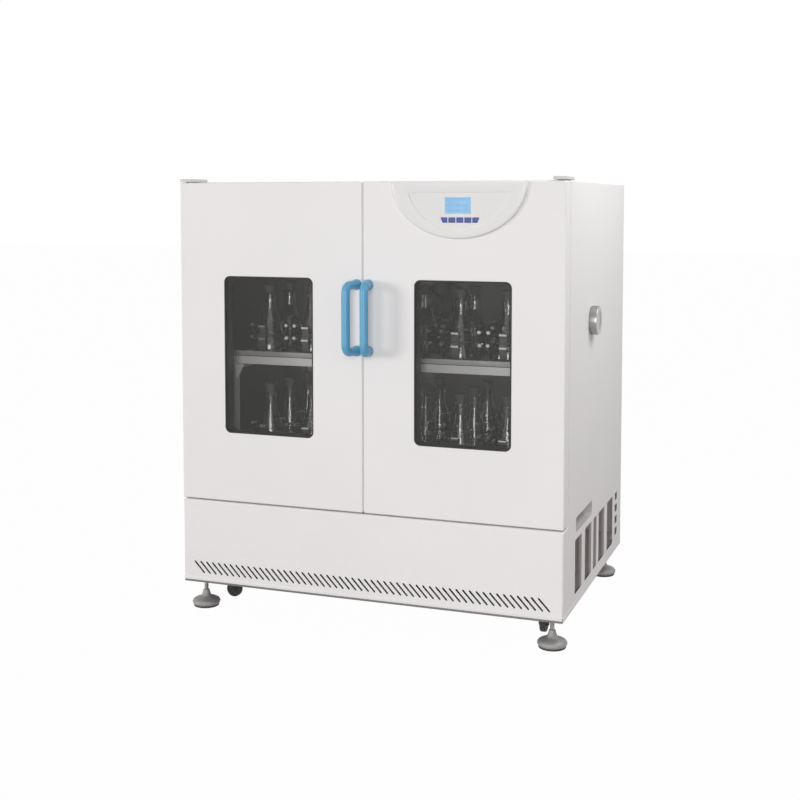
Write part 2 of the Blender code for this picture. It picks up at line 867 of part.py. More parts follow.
def make_side_vent(side):
    """Louvred grille plate behind one side's vent windows."""
    name = "side_vent_right" if side > 0 else "side_vent_left"
    windows = vent_windows()
    front = min(low for low, high in windows) - vent_lap
    rear = max(high for low, high in windows) + vent_lap
    holes = []
    pitch = (vent_top - vent_bottom) / louvre_count
    for low, high in windows:
        for row in range(louvre_count):
            bottom = vent_bottom + (row + 0.5) * pitch - louvre_height / 2
            holes.append(rectangle(low + vent_lap, high - vent_lap, bottom, bottom + louvre_height))
    outline = rectangle(front, rear, vent_bottom - vent_lap, vent_top + vent_lap)
    middle = half_width - sheet - gap - thin_sheet / 2
    return plate(name, outline, holes, thin_sheet, (side * middle, 0, 0), "X", cabinet, grey_paint)


def make_hinge_bracket(side):
    """Top hinge: a block on the cabinet's corner that reaches over the door and holds its upper pin."""
    name = "hinge_top_right" if side > 0 else "hinge_top_left"
    low_x, high_x = sorted((side * (half_width - bracket_width), side * half_width))
    bottom = cabinet_top + gap
    top = bottom + bracket_thickness
    bracket = box(name, (low_x, 0, bottom), (high_x, bracket_depth, top), cabinet, steel)
    pin_bottom = door_top - hinge_pin_reach
    join_cylinder(bracket, (side * hinge_x, hinge_y, pin_bottom), hinge_pin_radius,
                  top - bracket_thickness / 2 - pin_bottom, "Z", pin_sides)
    return bracket


def make_compressor():
    """Hermetic compressor can on the plate that carries it across the base frame."""
    plate_bottom = frame_top + gap
    low_x = cross_bar_x - frame_bar / 4
    high_x = half_width - frame_inset - frame_bar / 2
    can = box("compressor", (low_x, compressor_y - compressor_plate_half_depth, plate_bottom),
              (high_x, compressor_y + compressor_plate_half_depth, plate_bottom + compressor_plate),
              cabinet, black_plastic)
    height = compressor_height
    shoulder = compressor_shoulder
    radius = compressor_radius
    profile = [(0, height), (radius * 0.55, height - shoulder * 0.25), (radius, height - shoulder),
               (radius, compressor_plate / 2), (0, compressor_plate / 2)]
    body = turned("compressor_can", profile, (compressor_x, compressor_y, plate_bottom), "Z", shaft_sides,
                  cabinet, None, False, cutters)
    join(can, body)
    return can


def make_condenser():
    """Finned heat exchanger behind the right vents, standing on the base frame's side bar."""
    bottom = frame_top + gap
    left = condenser_x - condenser_half_width
    right = condenser_x + condenser_half_width
    top = bottom + condenser_height
    block = box("condenser", (left, condenser_front, bottom), (right, condenser_rear, top),
                cabinet, aluminium)
    bar_right = half_width - frame_inset
    join_boxes(block, [((bar_right - frame_bar, condenser_front, bottom),
                        (bar_right, condenser_rear, bottom + thin_sheet))])
    pitch = (condenser_rear - condenser_front) / fin_count
    spine = condenser_half_width * fin_spine_share
    slots = []
    for index in range(fin_count):
        low_y = condenser_front + (index + (1 - fin_share) / 2) * pitch
        high_y = low_y + pitch * fin_share
        slots.append(((left - overrun, low_y, bottom + spine), (condenser_x - spine, high_y, top - spine)))
        slots.append(((condenser_x + spine, low_y, bottom + spine), (right + overrun, high_y, top - spine)))
    cut_boxes(block, slots)
    return block


def make_electrical_box():
    """Control and power box on the rear panel, with the inlet socket that shows through it."""
    rear = cabinet_depth
    case = box("electrical_box", (box_left, rear - box_depth, box_bottom), (box_right, rear, box_top),
               cabinet, black_plastic)
    join_boxes(case, [((inlet_x - inlet_half_width, rear - overrun, inlet_z - inlet_half_height),
                       (inlet_x + inlet_half_width, rear + inlet_reach, inlet_z + inlet_half_height))])
    wall = inlet_socket_wall
    cut_boxes(case, [((inlet_x - inlet_half_width + wall, rear + inlet_reach - inlet_socket_depth,
                       inlet_z - inlet_half_height + wall),
                      (inlet_x + inlet_half_width - wall, rear + inlet_reach + overrun,
                       inlet_z + inlet_half_height - wall))])
    return case


def make_drive_bed():
    """Thick plate across the base frame with three bearing towers."""
    bottom = frame_top + gap
    bore_bottom = bottom + bed_thickness
    bed = box("drive_bed", (-bed_half_width, bed_front, bottom), (bed_half_width, bed_rear, bore_bottom),
              cabinet, grey_paint)
    for place_x, place_y in ((0, crank_y), (-idler_x, idler_y), (idler_x, idler_y)):
        join_cylinder(bed, (place_x, place_y, bottom + bed_thickness / 2), tower_radius,
                      tower_top - bottom - bed_thickness / 2)
        cut_cylinder(bed, (place_x, place_y, bore_bottom), shaft_radius + shaft_clearance,
                     tower_top - bore_bottom + overrun)
    return bed


def make_motor():
    """Upright motor on the bed, with its output shaft."""
    bottom = frame_top + gap + bed_thickness + gap
    top = tower_top - bottom
    shaft_top = tower_top + pulley_lift + pulley_height - bottom
    profile = [(0, shaft_top), (motor_shaft_radius, shaft_top), (motor_shaft_radius, top),
               (motor_radius - motor_shoulder, top), (motor_radius, top - motor_shoulder),
               (motor_radius, 0), (0, 0)]
    return turned("drive_motor", profile, (motor_x, motor_y, bottom), "Z", shaft_sides, cabinet, grey_paint)


def make_crank(name, place_x, place_y, carrier, with_pulley):
    """Vertical shaft with a disc and an eccentric pin on top, and the big pulley on the driven one."""
    bottom = frame_top + gap + bed_thickness + shaft_bottom_clearance
    disc_bottom = chamber_floor + crank_disc_lift
    disc_middle = disc_bottom + crank_disc / 2
    crank = cylinder(name, (place_x, place_y, bottom), shaft_radius, disc_middle - bottom,
                     "Z", shaft_sides, carrier, zinc)
    join_cylinder(crank, (place_x, place_y, disc_bottom), crank_disc_radius, crank_disc)
    join_cylinder(crank, (place_x + orbit_radius, place_y, disc_middle), crank_pin_radius,
                  table_top - crank_pin_top_clearance - disc_middle)
    if with_pulley:
        join_cylinder(crank, (place_x, place_y, tower_top + pulley_lift), pulley_radius, pulley_height,
                      "Z", port_sides)
    return crank


def belt_outline(grow):
    """Outline of a belt round both pulleys, grown outwards from their rims."""
    big = Vector((0, crank_y))
    small = Vector((motor_x, motor_y))
    along = small - big
    heading = math.degrees(math.atan2(along.y, along.x))
    lean = math.degrees(math.acos((pulley_radius - motor_pulley_radius) / along.length))
    points = arc(small, motor_pulley_radius + grow, heading - lean, heading + lean, 10)
    points += arc(big, pulley_radius + grow, heading + lean, heading + 360 - lean, 20)
    return points


def make_belt():
    middle = tower_top + pulley_lift + pulley_height / 2
    inner_grow = gap * 2
    return plate("drive_belt", belt_outline(inner_grow + belt_thickness), [belt_outline(inner_grow)],
                 pulley_height - 2 * belt_inset, (0, 0, middle), "Z", cabinet, black_rubber)


def make_motor_pulley(carrier):
    bottom = tower_top + pulley_lift
    bore = motor_shaft_radius + shaft_clearance
    rim = motor_pulley_radius
    profile = [(bore, pulley_height), (rim, pulley_height), (rim, 0), (bore, 0)]
    return turned("motor_pulley", profile, (motor_x, motor_y, bottom), "Z", shaft_sides,
                  carrier, aluminium, True)


def make_orbit_table(carrier):
    """Plate that the three crank pins carry."""
    table = box("orbit_table", (-deck_half_width, deck_front, table_bottom),
                (deck_half_width, deck_rear, table_top), carrier, aluminium)
    for place_x, place_y in ((0, crank_y), (-idler_x, idler_y), (idler_x, idler_y)):
        cut_cylinder(table, (place_x + orbit_radius, place_y, table_bottom - overrun),
                     crank_pin_radius + shaft_clearance, table_thickness + 2 * overrun)
    return table


def make_deck_frame(carrier):
    """Four posts from the table up to the upper tray, tied by rails on three sides."""
    bottom = table_top + gap
    top = upper_tray_top - upper_tray_flange - gap
    outer = deck_half_width
    inner = outer - post_width
    front = deck_front + post_inset
    rear = deck_rear - post_inset
    frame = box("deck_frame", (-outer, rear - post_width, top - rail_height), (outer, rear, top),
                carrier, steel)
    rails = []
    posts = []
    post_top = top - rail_height / 2
    for side in (-1, 1):
        low_x, high_x = sorted((side * inner, side * outer))
        rails.append(((low_x, front, top - rail_height), (high_x, rear, top)))
        posts.append(((low_x, front, bottom), (high_x, front + post_depth, post_top)))
        posts.append(((low_x, rear - post_depth, bottom), (high_x, rear, post_top)))
    join_boxes(frame, rails)
    join_boxes(frame, posts)
    corner = inner + post_inset
    for side in (-1, 1):
        gusset_top = top - gusset_thickness / 2
        gusset = [(side * corner, gusset_top), (side * corner, top - gusset_height),
                  (side * (inner - gusset_width), gusset_top)]
        for post_y in (front + post_depth / 2, rear - post_depth / 2):
            name = "deck_gusset" + str(len(frame.modifiers))
            join(frame, plate(name, gusset, [], gusset_thickness, (0, post_y, 0), "Y",
                              cabinet, None, cutters))
    return frame


def make_tray(name, outer_x, front, rear, bottom, top, carrier):
    """Sheet tray with its edges folded down."""
    tray = box(name, (-outer_x, front, bottom), (outer_x, rear, top), carrier, steel)
    wall = tray_sheet
    cut_boxes(tray, [((-outer_x + wall, front + wall, bottom - overrun),
                      (outer_x - wall, rear - wall, top - wall))])
    return tray


def make_duct_panel():
    """Sheet in front of the fan, with its inlet and two groups of outlet slots."""
    panel_x = chamber_half_width - thin_sheet - duct_side_clearance
    bottom = chamber_floor + gap
    top = chamber_ceiling - thin_sheet - gap
    holes = [arc((0, fan_z), duct_inlet_radius, 0, 360 - 360 / shaft_sides, shaft_sides)]
    for side in (-1, 1):
        for edge, heading in ((bottom, 1), (top, -1)):
            for row in range(duct_slot_count):
                low = edge + heading * (row + 1) * duct_slot_pitch
                middle = side * duct_slot_x
                holes.append(rectangle(middle - duct_slot_length / 2, middle + duct_slot_length / 2,
                                       low, low + duct_slot_height))
    return plate("air_duct_panel", rectangle(-panel_x, panel_x, bottom, top), holes, thin_sheet,
                 (0, duct_y + thin_sheet / 2, 0), "Y", cabinet, steel)


def make_fan(carrier):
    """Radial fan wheel: hub, back disc, blades and the shaft that reaches its motor."""
    length = chamber_back + gap - fan_front
    fan = cylinder("circulation_fan", (0, fan_front, fan_z), fan_hub_radius, fan_depth, "Y",
                   shaft_sides, carrier, aluminium)
    join_cylinder(fan, (0, fan_front + fan_depth - fan_blade, fan_z), fan_radius, fan_blade, "Y")
    join_cylinder(fan, (0, fan_front + fan_depth / 2, fan_z), fan_shaft_radius, length - fan_depth / 2,
                  "Y", pin_sides)
    built = bmesh.new()
    blade_middle = (fan_radius + fan_hub_radius - fan_blade) / 2
    for index in range(fan_blade_count):
        cube = bmesh.ops.create_cube(built, size=1)
        bmesh.ops.scale(built, vec=(fan_radius - fan_hub_radius, fan_depth - fan_blade, fan_blade),
                        verts=cube["verts"])
        bmesh.ops.translate(built, vec=(blade_middle, 0, 0), verts=cube["verts"])
        spin = Matrix.Rotation(math.tau * index / fan_blade_count, 3, "Y")
        bmesh.ops.rotate(built, matrix=spin, verts=cube["verts"])
    mesh = bpy.data.meshes.new("fan_blades")
    built.to_mesh(mesh)
    built.free()
    middle = fan_front + (fan_depth - fan_blade / 2) / 2
    join(fan, add("fan_blades", mesh, (0, middle, fan_z), cabinet, None, cutters))
    return fan


def make_fan_motor():
    return cylinder("fan_motor", (0, chamber_back + 2 * gap, fan_z), fan_motor_radius, fan_motor_depth, "Y",
                    shaft_sides, cabinet, grey_paint)


def make_heater():
    """Tube heater bent round the fan, with both ends at the chamber's rear wall."""
    rear = chamber_back - thin_sheet - gap
    half_leg = math.degrees(math.asin(heater_leg_spacing / 2 / heater_radius))
    ring = arc((0, fan_z), heater_radius, 90 + half_leg, 450 - half_leg, heater_points)
    path = [(ring[0][0], rear, ring[0][1])]
    path += [(across, heater_y, up) for across, up in ring]
    path.append((ring[-1][0], rear, ring[-1][1]))
    return tube("heater_element", path, heater_tube_radius, cabinet, steel, 1)


def make_port_cap(carrier):
    """Cap over the port's tube, with a short stem in its bore."""
    outer = port_cap_radius
    edge = port_cap_edge
    reach = port_cap_reach
    tube_hole = port_tube_radius + port_clearance
    stem = port_bore_radius - port_clearance
    hole_end = port_tube_reach + gap
    profile = [(0, reach), (outer - edge, reach), (outer, reach - edge), (outer, gap), (tube_hole, gap),
               (tube_hole, hole_end), (stem, hole_end), (stem, hole_end - port_stem_reach),
               (0, hole_end - port_stem_reach)]
    return turned("port_cap", profile, (half_width, port_y, port_z), "X", port_sides, carrier, steel)


def side_name(side, thing):
    return ("right_" if side > 0 else "left_") + thing


def make_door(side, hinge):
    """Outer pan, window pane, inner plate with the window's reveal, seal and handle of one door."""
    near = door_middle_gap / 2
    pan_depth = door_thickness - door_liner_thickness - gap
    low_x, high_x = mirrored(side, near, half_width)
    panel = box(side_name(side, "door_panel"), (low_x, 0, door_bottom), (high_x, pan_depth, door_top),
                hinge, white_paint)
    wall = thin_sheet
    cut_boxes(panel, [((low_x + wall, wall, door_bottom + wall), (high_x - wall, pan_depth + overrun,
                                                                 door_top - wall))])
    window_x = mirrored(side, window_inner_x, window_outer_x)
    hole = rounded_outline(*window_x, window_bottom, window_top, window_corner)
    cut(panel, plate(side_name(side, "window_hole"), hole, [], 2 * overrun, (0, 0, 0), "Y",
                     cabinet, None, cutters))
    pin_hole = hinge_pin_radius + hinge_pin_clearance
    for place_z in (door_bottom - overrun, door_top - wall - overrun):
        cut_cylinder(panel, (side * hinge_x, hinge_y, place_z), pin_hole, wall + 2 * overrun,
                     "Z", pin_sides)
    make_door_liner(side, hinge, window_x, hole)
    make_seal(side, hinge)
    make_handle(side, hinge)
    return panel


def window_outline(window_x, lap, radius, count=5):
    return rounded_outline(window_x[0] - lap, window_x[1] + lap, window_bottom - lap, window_top + lap,
                           radius, count)


def make_door_liner(side, hinge, window_x, hole):
    """Inner door plate, whose reveal reaches forward round the window and holds the pane."""
    pane_front = thin_sheet + gap
    pane_rear = pane_front + pane_thickness
    pane = window_outline(window_x, pane_overlap, window_corner, 3)
    plate(side_name(side, "window_pane"), pane, [], pane_thickness,
          (0, (pane_front + pane_rear) / 2, 0), "Y", hinge, smoked_glass)
    low_x, high_x = mirrored(side, door_middle_gap / 2, half_width)
    liner_outline = rectangle(low_x, high_x, door_bottom, door_top)
    liner = plate(side_name(side, "door_liner"), liner_outline, [hole], door_liner_thickness,
                  (0, door_thickness - door_liner_thickness / 2, 0), "Y", hinge, white_plastic)
    reveal_front = pane_rear + gap
    reveal_rear = door_thickness - door_liner_thickness / 2
    outer = window_outline(window_x, frame_overlap, window_corner + frame_overlap)
    join(liner, plate(side_name(side, "window_reveal"), outer, [hole], reveal_rear - reveal_front,
                      (0, (reveal_front + reveal_rear) / 2, 0), "Y", cabinet, None, cutters))
    return liner


def make_seal(side, hinge):
    near = door_middle_gap / 2 + seal_inner_inset
    far = half_width - seal_outer_inset
    low_x, high_x = mirrored(side, near, far)
    low_z = door_bottom + seal_end_inset
    high_z = door_top - seal_end_inset
    band = seal_band
    front = door_thickness + gap
    rear = shell_front - gap
    plate(side_name(side, "door_seal"), rectangle(low_x, high_x, low_z, high_z),
          [rectangle(low_x + band, high_x - band, low_z + band, high_z - band)], rear - front,
          (0, (front + rear) / 2, 0), "Y", hinge, black_rubber)


def make_handle(side, hinge):
    """D handle: one round bar bent at both ends to meet the door's face, its arms leaning apart."""
    bar_y = -handle_reach + handle_radius
    foot_y = -handle_foot_run
    lean = (handle_bar_x - handle_foot_x) / (bar_y - foot_y)
    bend = handle_bend
    upper = handle_top - handle_radius
    lower = handle_bottom + handle_radius
    bent = [(foot_y, upper)]
    bent += arc((bar_y + bend, upper - bend), bend, 90, 180, handle_bend_points)
    bent += arc((bar_y + bend, lower + bend), bend, 180, 270, handle_bend_points)
    bent.append((foot_y, lower))
    path = [(side * handle_foot_x, -gap, upper)]
    path += [(side * (handle_foot_x + lean * (out - foot_y)), out, up) for out, up in bent]
    path.append((side * handle_foot_x, -gap, lower))
    return tube(side_name(side, "handle"), path, handle_radius, hinge, blue_plastic)


def half_moon(half_across, drop, top_inset):
    """Lower half of an ellipse under the door's top edge, cut flat at its top."""
    lean = math.degrees(math.asin(top_inset / drop))
    angles = [math.radians(180 + lean + (180 - 2 * lean) * step / moulding_arc_points)
              for step in range(moulding_arc_points + 1)]
    return [(moulding_x + half_across * math.cos(angle), door_top + drop * math.sin(angle))
            for angle in angles]


def key_outline(index, grow):
    """Key face: the first and last keys have a slanted outer side."""
    middle = key_row_x + (index - (key_count - 1) / 2) * key_pitch
    left = middle - key_width / 2 - grow
    right = middle + key_width / 2 + grow
    low = key_bottom - grow
    high = key_bottom + key_height + grow
    left_slant = key_slant if index == 0 else 0
    right_slant = key_slant if index == key_count - 1 else 0
    return [(left + left_slant, low), (right - right_slant, low), (right, high), (left, high)]


def make_controls(hinge):
    """Half-moon moulding with a sunk face, a display and five keys in their pockets."""
    rear = -gap
    front = -moulding_thickness
    outline = half_moon(moulding_half_width, moulding_drop, gap)
    moulding = plate("control_moulding", outline, [], rear - front, (0, (front + rear) / 2, 0), "Y",
                     hinge, white_plastic)
    face_front = front + face_recess
    face = half_moon(face_half_width, face_drop, face_top_inset)
    depth = face_recess + overrun
    cut(moulding, plate("moulding_face", face, [], depth, (0, face_front - depth / 2, 0), "Y",
                        cabinet, None, cutters))
    floor = -pocket_floor
    display_x = moulding_x
    half = display_width / 2
    grow = key_clearance
    display_top = display_bottom + display_height
    cut_boxes(moulding, [((display_x - half - grow, front - overrun, display_bottom - grow),
                          (display_x + half + grow, floor, display_top + grow))])
    box("display_screen", (display_x - half, face_front + display_recess, display_bottom),
        (display_x + half, floor - gap, display_top), hinge, screen_blue)
    key_rear = floor - gap - key_travel
    for index in range(key_count):
        pocket_depth = floor - front + overrun
        pocket = plate("key_pocket_" + str(index + 1), key_outline(index, grow), [], pocket_depth,
                       (0, floor - pocket_depth / 2, 0), "Y", cabinet, None, cutters)
        cut(moulding, pocket)
        place = (key_row_x, key_rear - key_thickness / 2, key_bottom)
        slide = pivot("key_slide_" + str(index + 1), place, hinge)
        plate("key_" + str(index + 1), key_outline(index, 0), [], key_thickness,
              (0, key_rear - key_thickness / 2, 0), "Y", slide, key_blue)
    return moulding


def make_foot(name, place_x, place_y, carrier):
    """Levelling foot: rim, low dome, boss and threaded stud."""
    stud_top = frame_bottom + foot_stud_above
    profile = [(0, stud_top), (foot_stud_radius, stud_top), (foot_stud_radius, foot_boss),
               (foot_boss_top_radius, foot_boss), (foot_boss_radius, foot_dome),
               (foot_radius, foot_rim), (foot_radius, 0), (0, 0)]
    return turned(name, profile, (place_x, place_y, 0), "Z", shaft_sides, carrier, zinc)


def make_wheel(name, place, axis, carrier):
    """Caster wheel with a round bore and sunk hub faces."""
    half = caster_width / 2
    bore = caster_axle_radius + caster_axle_clearance
    recess = caster_hub_recess
    profile = [(bore, half), (caster_radius - recess, half), (caster_radius, half - recess),
               (caster_radius, recess - half), (caster_radius - recess, -half), (bore, -half)]
    return turned(name, profile, place, axis, shaft_sides, carrier, black_rubber, True)


def make_swivel_fork(name, place_x, place_y, wheel_offset, along_x, carrier):
    """Swivel head, stem, two cheeks and axle of a front caster."""
    head_top = frame_bottom - caster_head_clearance
    fork = cylinder(name, (place_x, place_y, head_top - caster_head), caster_head_radius, caster_head,
                    "Z", shaft_sides, carrier, zinc)
    join_cylinder(fork, (place_x, place_y, head_top - caster_head / 2), caster_stem_radius,
                  caster_head / 2 + caster_head_clearance + caster_stem_above, "Z", pin_sides)
    wheel_x = place_x + wheel_offset[0]
    wheel_y = place_y + wheel_offset[1]
    join_boxes(fork, fork_boxes(wheel_x, wheel_y, head_top - caster_head / 2, along_x))
    reach = caster_width / 2 + caster_side_clearance + 2 * caster_cheek
    axle_z = caster_lift + caster_radius
    if along_x:
        axle_start = (wheel_x - reach, wheel_y, axle_z)
    else:
        axle_start = (wheel_x, wheel_y - reach, axle_z)
    join_cylinder(fork, axle_start, caster_axle_radius, 2 * reach, "X" if along_x else "Y", pin_sides)
    return fork


make_base_frame()
make_shell()
make_liner()
make_port_tube()
make_insulation()
make_side_panels()
make_skirt()
make_rear_cover()
for side in (-1, 1):
    make_side_vent(side)
    make_hinge_bracket(side)
make_compressor()
make_condenser()
make_electrical_box()
make_drive_bed()
make_motor()
make_belt()
make_duct_panel()
make_heater()
make_fan_motor()

left_hinge = pivot("left_door_hinge", (-hinge_x, hinge_y, door_bottom), cabinet)
right_hinge = pivot("right_door_hinge", (hinge_x, hinge_y, door_bottom), cabinet)
make_door(-1, left_hinge)
make_door(1, right_hinge)
make_controls(right_hinge)

crank_axis = pivot("drive_crank_axis", (0, crank_y, chamber_floor), cabinet)
make_crank("drive_crank", 0, crank_y, crank_axis, True)
for side in (-1, 1):
    idler_name = "idler_crank_right" if side > 0 else "idler_crank_left"
    idler_axis = pivot(idler_name + "_axis", (side * idler_x, idler_y, chamber_floor), cabinet)
    make_crank(idler_name, side * idler_x, idler_y, idler_axis, False)
motor_axis = pivot("motor_pulley_axis", (motor_x, motor_y, tower_top), cabinet)
make_motor_pulley(motor_axis)

platform = pivot("platform_axis", (orbit_radius, crank_y, table_bottom), crank_axis)
make_orbit_table(platform)
make_deck_frame(platform)
lower_x = deck_half_width - post_width - post_inset
make_tray("lower_tray", lower_x, deck_front, deck_rear, table_top + gap, lower_tray_top, platform)
make_tray("upper_tray", deck_half_width, deck_front, deck_rear, upper_tray_top - upper_tray_flange,
          upper_tray_top, platform)

fan_axis = pivot("circulation_fan_axis", (0, fan_front, fan_z), cabinet)
make_fan(fan_axis)
port_slide = pivot("port_cap_slide", (half_width, port_y, port_z), cabinet)
make_port_cap(port_slide)

foot_places = (("front_left", -1, foot_front_y), ("front_right", 1, foot_front_y),
               ("rear_left", -1, foot_rear_y), ("rear_right", 1, foot_rear_y))
for corner_name, side, foot_y in foot_places:
    foot_axis = pivot("foot_" + corner_name + "_axis", (side * foot_x, foot_y, 0), cabinet)
    make_foot("foot_" + corner_name, side * foot_x, foot_y, foot_axis)

axle_z = caster_lift + caster_radius
casters = (("front_left", -1, caster_front_y, (caster_trail, 0), False),
           ("front_right", 1, caster_front_y, (0, caster_trail), True),
           ("rear_left", -1, caster_rear_y, (0, 0), True),
           ("rear_right", 1, caster_rear_y, (0, 0), True))
for corner_name, side, caster_y, offset, along_x in casters:
    carrier = cabinet
    if caster_y == caster_front_y:
        fork_name = "caster_fork_" + corner_name
        carrier = pivot(fork_name + "_axis", (side * caster_x, caster_y, frame_bottom), cabinet)
        make_swivel_fork(fork_name, side * caster_x, caster_y, offset, along_x, carrier)
    axle = (side * caster_x + offset[0], caster_y + offset[1], axle_z)
    wheel_axis = pivot("caster_wheel_" + corner_name + "_axis", axle, carrier)
    make_wheel("caster_wheel_" + corner_name, axle, "X" if along_x else "Y", wheel_axis)
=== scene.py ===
# %% [markdown]
# # An incubated shaker, dressed round its frame
# This lesson gives a floor-standing incubated shaker its looks. The machine is a painted steel cabinet
# with two windowed doors, two decks of flasks that a crank drive shakes, levelling feet and small casters.
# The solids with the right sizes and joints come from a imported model. Each piece made here either
# replaces one of those solids, or is a small part that the solids leave out.

# %% Load the solids
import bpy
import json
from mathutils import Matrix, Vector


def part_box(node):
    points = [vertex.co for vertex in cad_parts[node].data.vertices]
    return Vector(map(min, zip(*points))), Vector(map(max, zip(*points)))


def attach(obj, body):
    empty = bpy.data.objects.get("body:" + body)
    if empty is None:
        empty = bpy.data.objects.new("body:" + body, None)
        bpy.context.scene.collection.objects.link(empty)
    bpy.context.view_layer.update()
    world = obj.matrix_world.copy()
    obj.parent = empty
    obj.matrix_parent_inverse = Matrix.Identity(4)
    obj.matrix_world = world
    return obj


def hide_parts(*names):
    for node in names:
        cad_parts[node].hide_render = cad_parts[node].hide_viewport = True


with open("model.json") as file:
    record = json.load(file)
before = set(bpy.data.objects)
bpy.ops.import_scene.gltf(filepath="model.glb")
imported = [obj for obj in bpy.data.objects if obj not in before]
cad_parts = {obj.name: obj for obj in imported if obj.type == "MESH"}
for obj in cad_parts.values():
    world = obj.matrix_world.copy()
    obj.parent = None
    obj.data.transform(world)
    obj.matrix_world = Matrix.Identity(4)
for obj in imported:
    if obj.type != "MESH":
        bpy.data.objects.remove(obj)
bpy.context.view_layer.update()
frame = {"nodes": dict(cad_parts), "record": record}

# %% Blender's own modules
import json
import math

import bmesh
import bpy
from mathutils import Matrix, Vector

# %% [markdown]
# ## Places on the cabinet
# A maker measures a cabinet from its middle line, its front face and the floor. The helper below turns
# such a place into the model's own coordinates, so that the numbers in this lesson read like a drawing.

# %% Cabinet places
left_door_low, left_door_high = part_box("left_door_panel")
right_door_low, right_door_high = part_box("right_door_panel")
middle_x = (left_door_low.x + right_door_high.x) / 2
front_y = left_door_low.y
half_width = (right_door_high.x - left_door_low.x) / 2
side_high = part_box("side_panel_right")[1]
cabinet_depth = side_high.y - front_y
cabinet_top = side_high.z
rightward, backward, upward = Vector((1, 0, 0)), Vector((0, 1, 0)), Vector((0, 0, 1))


def place(x, y, z):
    """A point given from the cabinet's middle, behind its front face and above the floor."""
    return Vector((middle_x + x, front_y + y, z))


print("half width, depth and top:", round(half_width, 4), round(cabinet_depth, 4), round(cabinet_top, 4))

# %% [markdown]
# ## Putting a piece into the scene
# Every piece needs the same three things: a mesh, a finish and the moving body that carries it. One
# helper does all three, so no piece can miss one.

# %% Piece helpers
def add_object(name, data):
    made = bpy.data.objects.new(name, data)
    bpy.context.scene.collection.objects.link(made)
    return made


def wear(thing, surface):
    """Give an object one finish in place of any other."""
    thing.data.materials.clear()
    thing.data.materials.append(surface)


def piece(name, mesh, body, slot, surface, *nodes):
    """Add a mesh to the scene, carried by a body, in place of the named solids."""
    made = add_object(name, mesh)
    wear(made, surface)
    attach(made, body)
    if nodes:
        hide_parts(*nodes)
    return made


def to_mesh(name, built, smooth_angle=40):
    """Turn a bmesh into a mesh, smooth except at edges sharper than the angle."""
    bmesh.ops.recalc_face_normals(built, faces=built.faces)
    mesh = bpy.data.meshes.new(name)
    built.to_mesh(mesh)
    built.free()
    mesh.shade_smooth()
    mesh.set_sharp_from_angle(angle=math.radians(smooth_angle))
    return mesh


def even_shading(thing):
    """Keep flat faces flat beside rounded edges."""
    thing.modifiers.new("EvenShading", "WEIGHTED_NORMAL").keep_sharp = True


# %% [markdown]
# ## Folding sheet metal
# Most of the cabinet is sheet steel folded into shallow pans. The fold leaves a small outside radius,
# and that radius catches the light along every edge. A pan starts as a box here: the open side is taken
# off, its outer edges are bevelled, and Solidify gives the sheet its gauge.

# %% Boxes and pans
fold_radius = 0.004
fold_steps = 4


def box_bmesh(low, high):
    built = bmesh.new()
    bmesh.ops.create_cube(built, size=1)
    bmesh.ops.scale(built, vec=high - low, verts=built.verts)
    bmesh.ops.translate(built, vec=(low + high) / 2, verts=built.verts)
    return built


def round_edges(built, width, segments=2, edges=None):
    """Round some edges of a bmesh, or all of them."""
    bmesh.ops.bevel(built, geom=edges or built.edges[:], offset=width, segments=segments, profile=0.5,
                    affect="EDGES")


def slab_mesh(name, low, high, ease, segments=2):
    """A box with all its edges rounded."""
    built = box_bmesh(low, high)
    round_edges(built, ease, segments)
    return to_mesh(name, built, 50)


def fold_pan(built, open_side, radius, stays_sharp=lambda edge: False):
    """Take off the face that looks along open_side, and fold the other outer edges round."""
    built.normal_update()
    opening = [face for face in built.faces if face.normal.dot(open_side) > 0.9]
    rim = set(opening[0].edges)
    folds = [edge for edge in built.edges if edge not in rim and not stays_sharp(edge)]
    bmesh.ops.delete(built, geom=opening, context="FACES_ONLY")
    round_edges(built, radius, fold_steps, folds)


def pan_mesh(name, low, high, open_side, radius=fold_radius):
    built = box_bmesh(low, high)
    fold_pan(built, open_side, radius)
    return to_mesh(name, built, 50)


# %% Gauge and punched openings
def gauge(thing, thickness):
    """Give an open sheet its thickness, inwards."""
    sheet = thing.modifiers.new("Gauge", "SOLIDIFY")
    sheet.thickness = thickness
    sheet.offset = -1


def settle(thing):
    """Apply the modifiers that a piece has so far."""
    graph = bpy.context.evaluated_depsgraph_get()
    graph.update()
    mesh = bpy.data.meshes.new_from_object(thing.evaluated_get(graph))
    thing.modifiers.clear()
    thing.data = mesh


def punch(thing, cutter_mesh, sharp_angle):
    """Cut a closed mesh out of a piece, and mark its sharp edges again."""
    cutter = add_object("punch", cutter_mesh)
    step = thing.modifiers.new("Punch", "BOOLEAN")
    step.operation = "DIFFERENCE"
    step.solver = "EXACT"
    step.object = cutter
    settle(thing)
    bpy.data.objects.remove(cutter)
    thing.data.set_sharp_from_angle(angle=math.radians(sharp_angle))


# %% [markdown]
# ## Outlines, lofts and prisms
# Windows, keys and vents are flat outlines with rounded corners. An outline is a list of points. A loft
# joins a row of outlines into one surface, and a prism is the loft between two copies of one outline.
# The same outlines serve as cutters and as pieces.

# %% Outlines
def arc(centre, radius, start, end, count):
    """Points on a circle's arc, with angles in degrees."""
    across, up = centre
    angles = [math.radians(start + (end - start) * step / (count - 1)) for step in range(count)]
    return [(across + radius * math.cos(angle), up + radius * math.sin(angle)) for angle in angles]


def rounded_rectangle(left, right, bottom, top, radius, count=6):
    corners = ((right - radius, top - radius), (left + radius, top - radius),
               (left + radius, bottom + radius), (right - radius, bottom + radius))
    points = []
    for turn, corner in enumerate(corners):
        points += arc(corner, radius, 90 * turn, 90 * turn + 90, count)
    return points


